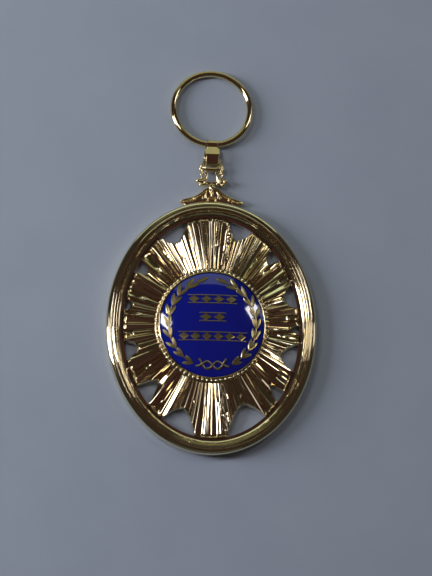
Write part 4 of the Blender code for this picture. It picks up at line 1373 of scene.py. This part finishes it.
def ball(name, middle, radii):
    """A ball stretched along the three axes."""
    turns = [2 * math.pi * k / BALL_STEPS for k in range(BALL_STEPS)]
    rings = []
    for i in range(1, BALL_RINGS):
        tilt = math.pi * i / BALL_RINGS
        wide, deep = radii[0] * math.sin(tilt), radii[1] * math.sin(tilt)
        level = middle[2] - radii[2] * math.cos(tilt)
        rings.append([(middle[0] + wide * math.cos(t), middle[1] + deep * math.sin(t), level) for t in turns])
    return skin(name, rings)


def slab(name, outline, low, high, edge):
    """A flat slab with softened edges over an outline of (x, y) points."""
    middle = Vector((sum(x for x, _ in outline), sum(y for _, y in outline))) / len(outline)

    def shrunk(by):
        inner = []
        for x, y in outline:
            toward = Vector((x, y)) - middle
            inner.append(tuple(middle + toward * max(1 - by / max(toward.length, 0.01), 0)))
        return inner

    levels = ((low, edge), (low + edge, 0), (high - edge, 0), (high, edge))
    return skin(name, [[(x, y, level) for x, y in shrunk(by)] for level, by in levels])


def melt(name, meshes, voxel, smoothing):
    """Joins the meshes into one skin by voxels and smooths it."""
    work = bmesh.new()
    for mesh in meshes:
        work.from_mesh(mesh)
        bpy.data.meshes.remove(mesh)
    blocked = bpy.data.meshes.new(name + "_blocked")
    work.to_mesh(blocked)
    work.free()
    wax = bpy.data.objects.new(name + "_blocked", blocked)
    bpy.context.scene.collection.objects.link(wax)
    remesh = wax.modifiers.new("melt", "REMESH")
    remesh.mode = "VOXEL"
    remesh.voxel_size = voxel * MM
    smooth = wax.modifiers.new("soften", "SMOOTH")
    smooth.factor = 0.5
    smooth.iterations = smoothing
    graph = bpy.context.evaluated_depsgraph_get()
    mesh = bpy.data.meshes.new_from_object(wax.evaluated_get(graph))
    bpy.data.objects.remove(wax)
    return place(name, mesh)


# %% [markdown]
# ## The finial's parts
#
# From the foot up these are a mantle with a raised rim, a small palmette with ribs beside it, a leaf to
# each side, a ledge, two legs with balls and curls, and a U-shaped eye with ears. Only the right half is
# listed, as lines and balls that were read from the photograph one by one. The left half is its mirror
# image, as it is on the real piece.

# %% Parts of the finial
# outline of the mantle, across and along
MANTLE_ROWS = (
    (0.00, 35.20), (0.55, 35.10), (0.80, 34.62), (1.48, 34.16), (2.18, 33.62), (2.96, 32.84), (3.90, 32.26),
    (4.84, 31.90), (5.77, 31.68), (6.70, 31.46), (7.40, 31.08), (7.74, 30.70),
)
# name, points as (across, along, level, radius)
HALF_ROLLS = (
    ("rim", ((0.10, 35.00, 1.60, 0.34), (0.70, 34.44, 1.62, 0.34), (1.40, 33.90, 1.62, 0.34),
             (2.10, 33.36, 1.60, 0.34), (2.90, 32.60, 1.58, 0.34), (3.85, 32.02, 1.54, 0.33),
             (4.80, 31.64, 1.50, 0.32), (5.75, 31.40, 1.46, 0.30), (6.65, 31.16, 1.42, 0.27),
             (7.32, 30.82, 1.38, 0.24))),
    ("leaf rib", ((5.00, 31.02, 1.46, 0.14), (5.80, 30.92, 1.54, 0.14), (6.60, 30.70, 1.50, 0.13))),
    ("side rib", ((1.45, 31.80, 1.38, 0.11), (1.55, 32.60, 1.44, 0.12), (1.30, 33.40, 1.46, 0.10))),
    ("arch", ((1.02, 31.15, 1.72, 0.21), (0.84, 31.70, 1.86, 0.21), (0.00, 31.98, 1.96, 0.21))),
    ("lobe", ((0.02, 33.20, 1.92, 0.24), (0.20, 33.75, 2.02, 0.28), (0.40, 34.30, 2.02, 0.29))),
    ("leg", ((1.20, 38.30, 1.36, 0.40), (1.28, 37.40, 1.46, 0.38), (1.52, 36.50, 1.48, 0.40),
             (1.72, 35.60, 1.44, 0.40))),
    ("cuff", ((1.50, 35.45, 1.45, 0.36), (2.05, 35.20, 1.45, 0.38))),
    ("curl", ((1.70, 37.85, 1.40, 0.26), (2.22, 37.98, 1.50, 0.30), (2.62, 37.62, 1.56, 0.30),
              (2.38, 37.18, 1.50, 0.26))),
    ("scroll", ((1.70, 36.65, 1.16, 0.36), (2.45, 36.65, 1.20, 0.40))),
    ("eye", ((1.96, 41.46, 1.34, 0.32), (1.98, 40.60, 1.40, 0.36), (1.98, 39.95, 1.44, 0.42),
             (1.72, 39.44, 1.48, 0.56), (1.05, 39.10, 1.50, 0.64), (0.00, 39.02, 1.50, 0.66))),
    ("ear", ((2.44, 40.25, 1.46, 0.26), (2.52, 39.90, 1.60, 0.34), (2.46, 39.40, 1.58, 0.30))),
)
# name, middle, radii
HALF_BALLS = (
    ("ball", (3.26, 36.08, 1.42), (0.70, 0.62, 0.66)),
    ("small ball", (2.66, 35.10, 1.46), (0.56, 0.48, 0.60)),
    ("volute body", (2.50, 36.15, 1.12), (0.80, 0.80, 0.74)),
    ("outer ear", (2.72, 39.14, 1.36), (0.48, 0.56, 0.56)),
    ("knuckle", (2.30, 38.70, 1.34), (0.48, 0.42, 0.56)),
    ("leaf bead", (4.25, 31.38, 1.72), (0.32, 0.32, 0.38)),
    ("rib bead", (2.05, 31.90, 1.66), (0.20, 0.36, 0.34)),
    ("leaf tip", (7.34, 30.84, 1.54), (0.26, 0.24, 0.32)),
)
STEM_LINE = ((0, 31.95, 1.90, 0.26), (0, 32.60, 2.00, 0.28), (0, 33.30, 2.00, 0.26))
BAR_LINE = ((-1.80, BAR_Y, HANG_LEVEL, 0.44), (1.80, BAR_Y, HANG_LEVEL, 0.44))
LEDGE = ((-2.55, 35.12), (2.55, 35.12), (2.08, 35.95), (-2.08, 35.95))
MANTLE_UNDERSIDE = ((7.36, 30.44), (6.75, 30.26), (6.30, 29.90))
MANTLE_FOOT_END = 6.1
MANTLE_FOOT_INSET = 0.9
MANTLE_FOOT_STEPS = 12
print(len(HALF_ROLLS), "rolls and", len(HALF_BALLS), "balls on each side")

# %% [markdown]
# ## Casting the finial
#
# The lumps are laid on the web, melted into one skin and softened, as the wax is before it is cast. The bar
# is added after that as a clean round rod, because the bail turns on it.


# %% Finial
def mirrored(mesh):
    """A copy of the mesh on the other side of the badge's middle."""
    twin = mesh.copy()
    twin.transform(Matrix.Scale(-1, 4, (1, 0, 0)))
    twin.flip_normals()
    return twin


def mantle_web():
    """The outline of the web: the mantle's two sides, its overhanging tips, and its foot on the frame."""
    tip_turn = math.acos(MANTLE_FOOT_END / (FRAME_WIDTH / 2))
    foot = []
    for i in range(MANTLE_FOOT_STEPS + 1):
        turn = tip_turn + (math.pi / 2 - tip_turn) * i / MANTLE_FOOT_STEPS
        foot.append(tuple(oval(FRAME_WIDTH, FRAME_HEIGHT, MANTLE_FOOT_INSET, turn)))
    half = list(MANTLE_ROWS) + list(MANTLE_UNDERSIDE) + foot
    return half + [(-x, y) for x, y in reversed(half[1:-1])]


def make_finial(material):
    lumps = [
        slab("web", mantle_web(), low=0.34, high=1.44, edge=0.10),
        slab("ledge", LEDGE, low=0.46, high=1.62, edge=0.16),
        roll("stem", STEM_LINE),
    ]
    halves = [roll(name, line) for name, line in HALF_ROLLS]
    halves += [ball(name, middle, radii) for name, middle, radii in HALF_BALLS]
    for lump in halves:
        lumps += [mirrored(lump), lump]
    finial = melt("finial_casting", lumps, voxel=0.065, smoothing=3)
    bar = roll("bar", BAR_LINE)
    work = bmesh.new()
    work.from_mesh(finial.data)
    work.from_mesh(bar)
    work.to_mesh(finial.data)
    work.free()
    bpy.data.meshes.remove(bar)
    return finish(finial, material, 60)


finial = make_finial(cast_gilt)
mark_hollows(finial, 22, 3)
print("finial:", len(finial.data.polygons), "faces,", [round(v / MM, 2) for v in finial.dimensions])

# %% [markdown]
# ## Joining the pieces to the imported model
#
# Each piece rides on the body that carries it and stands for the imported solid that it refines, and the
# table names a slot for its finish. The bail and the ring are bodies of their own, so they turn on their
# hinges with nothing left behind.

# %% Bodies, nodes and slots
PIECES = (
    (moulding, "medal", "frame", "polished_gilt"),
    (finial, "medal", "frame", "polished_gilt"),
    (plate, "medal", "sunburst", "polished_gilt"),
    (bezel, "medal", "bezel", "polished_gilt"),
    (enamel, "medal", "enamel", "blue_enamel"),
    (wreath, "medal", "wreath", "inlay_gold"),
    (knot, "medal", "wreath", "inlay_gold"),
    (ornaments["upper"], "medal", "ornament_upper", "inlay_gold"),
    (ornaments["middle"], "medal", "ornament_middle", "inlay_gold"),
    (ornaments["lower"], "medal", "ornament_lower", "inlay_gold"),
    (bail, "bail", "bail", "ring_gilt"),
    (ring, "ring", "ring", "ring_gilt"),
)
for piece, body, node, slot in PIECES:
    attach(piece, body)
    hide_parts(node)
    print(f"{piece.name} stands for {node} on {body}")

# %% [markdown]
# ## Sizes
#
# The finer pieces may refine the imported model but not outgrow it. So the box round each model is written
# down, and the two can be compared.

# %% Sizes
VISUAL_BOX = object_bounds()


for label, box in (("CAD", CAD_BOX), ("visual", VISUAL_BOX)):
    print(label, "size in mm:", [round((high - low) / MM, 2) for low, high in zip(*box)])
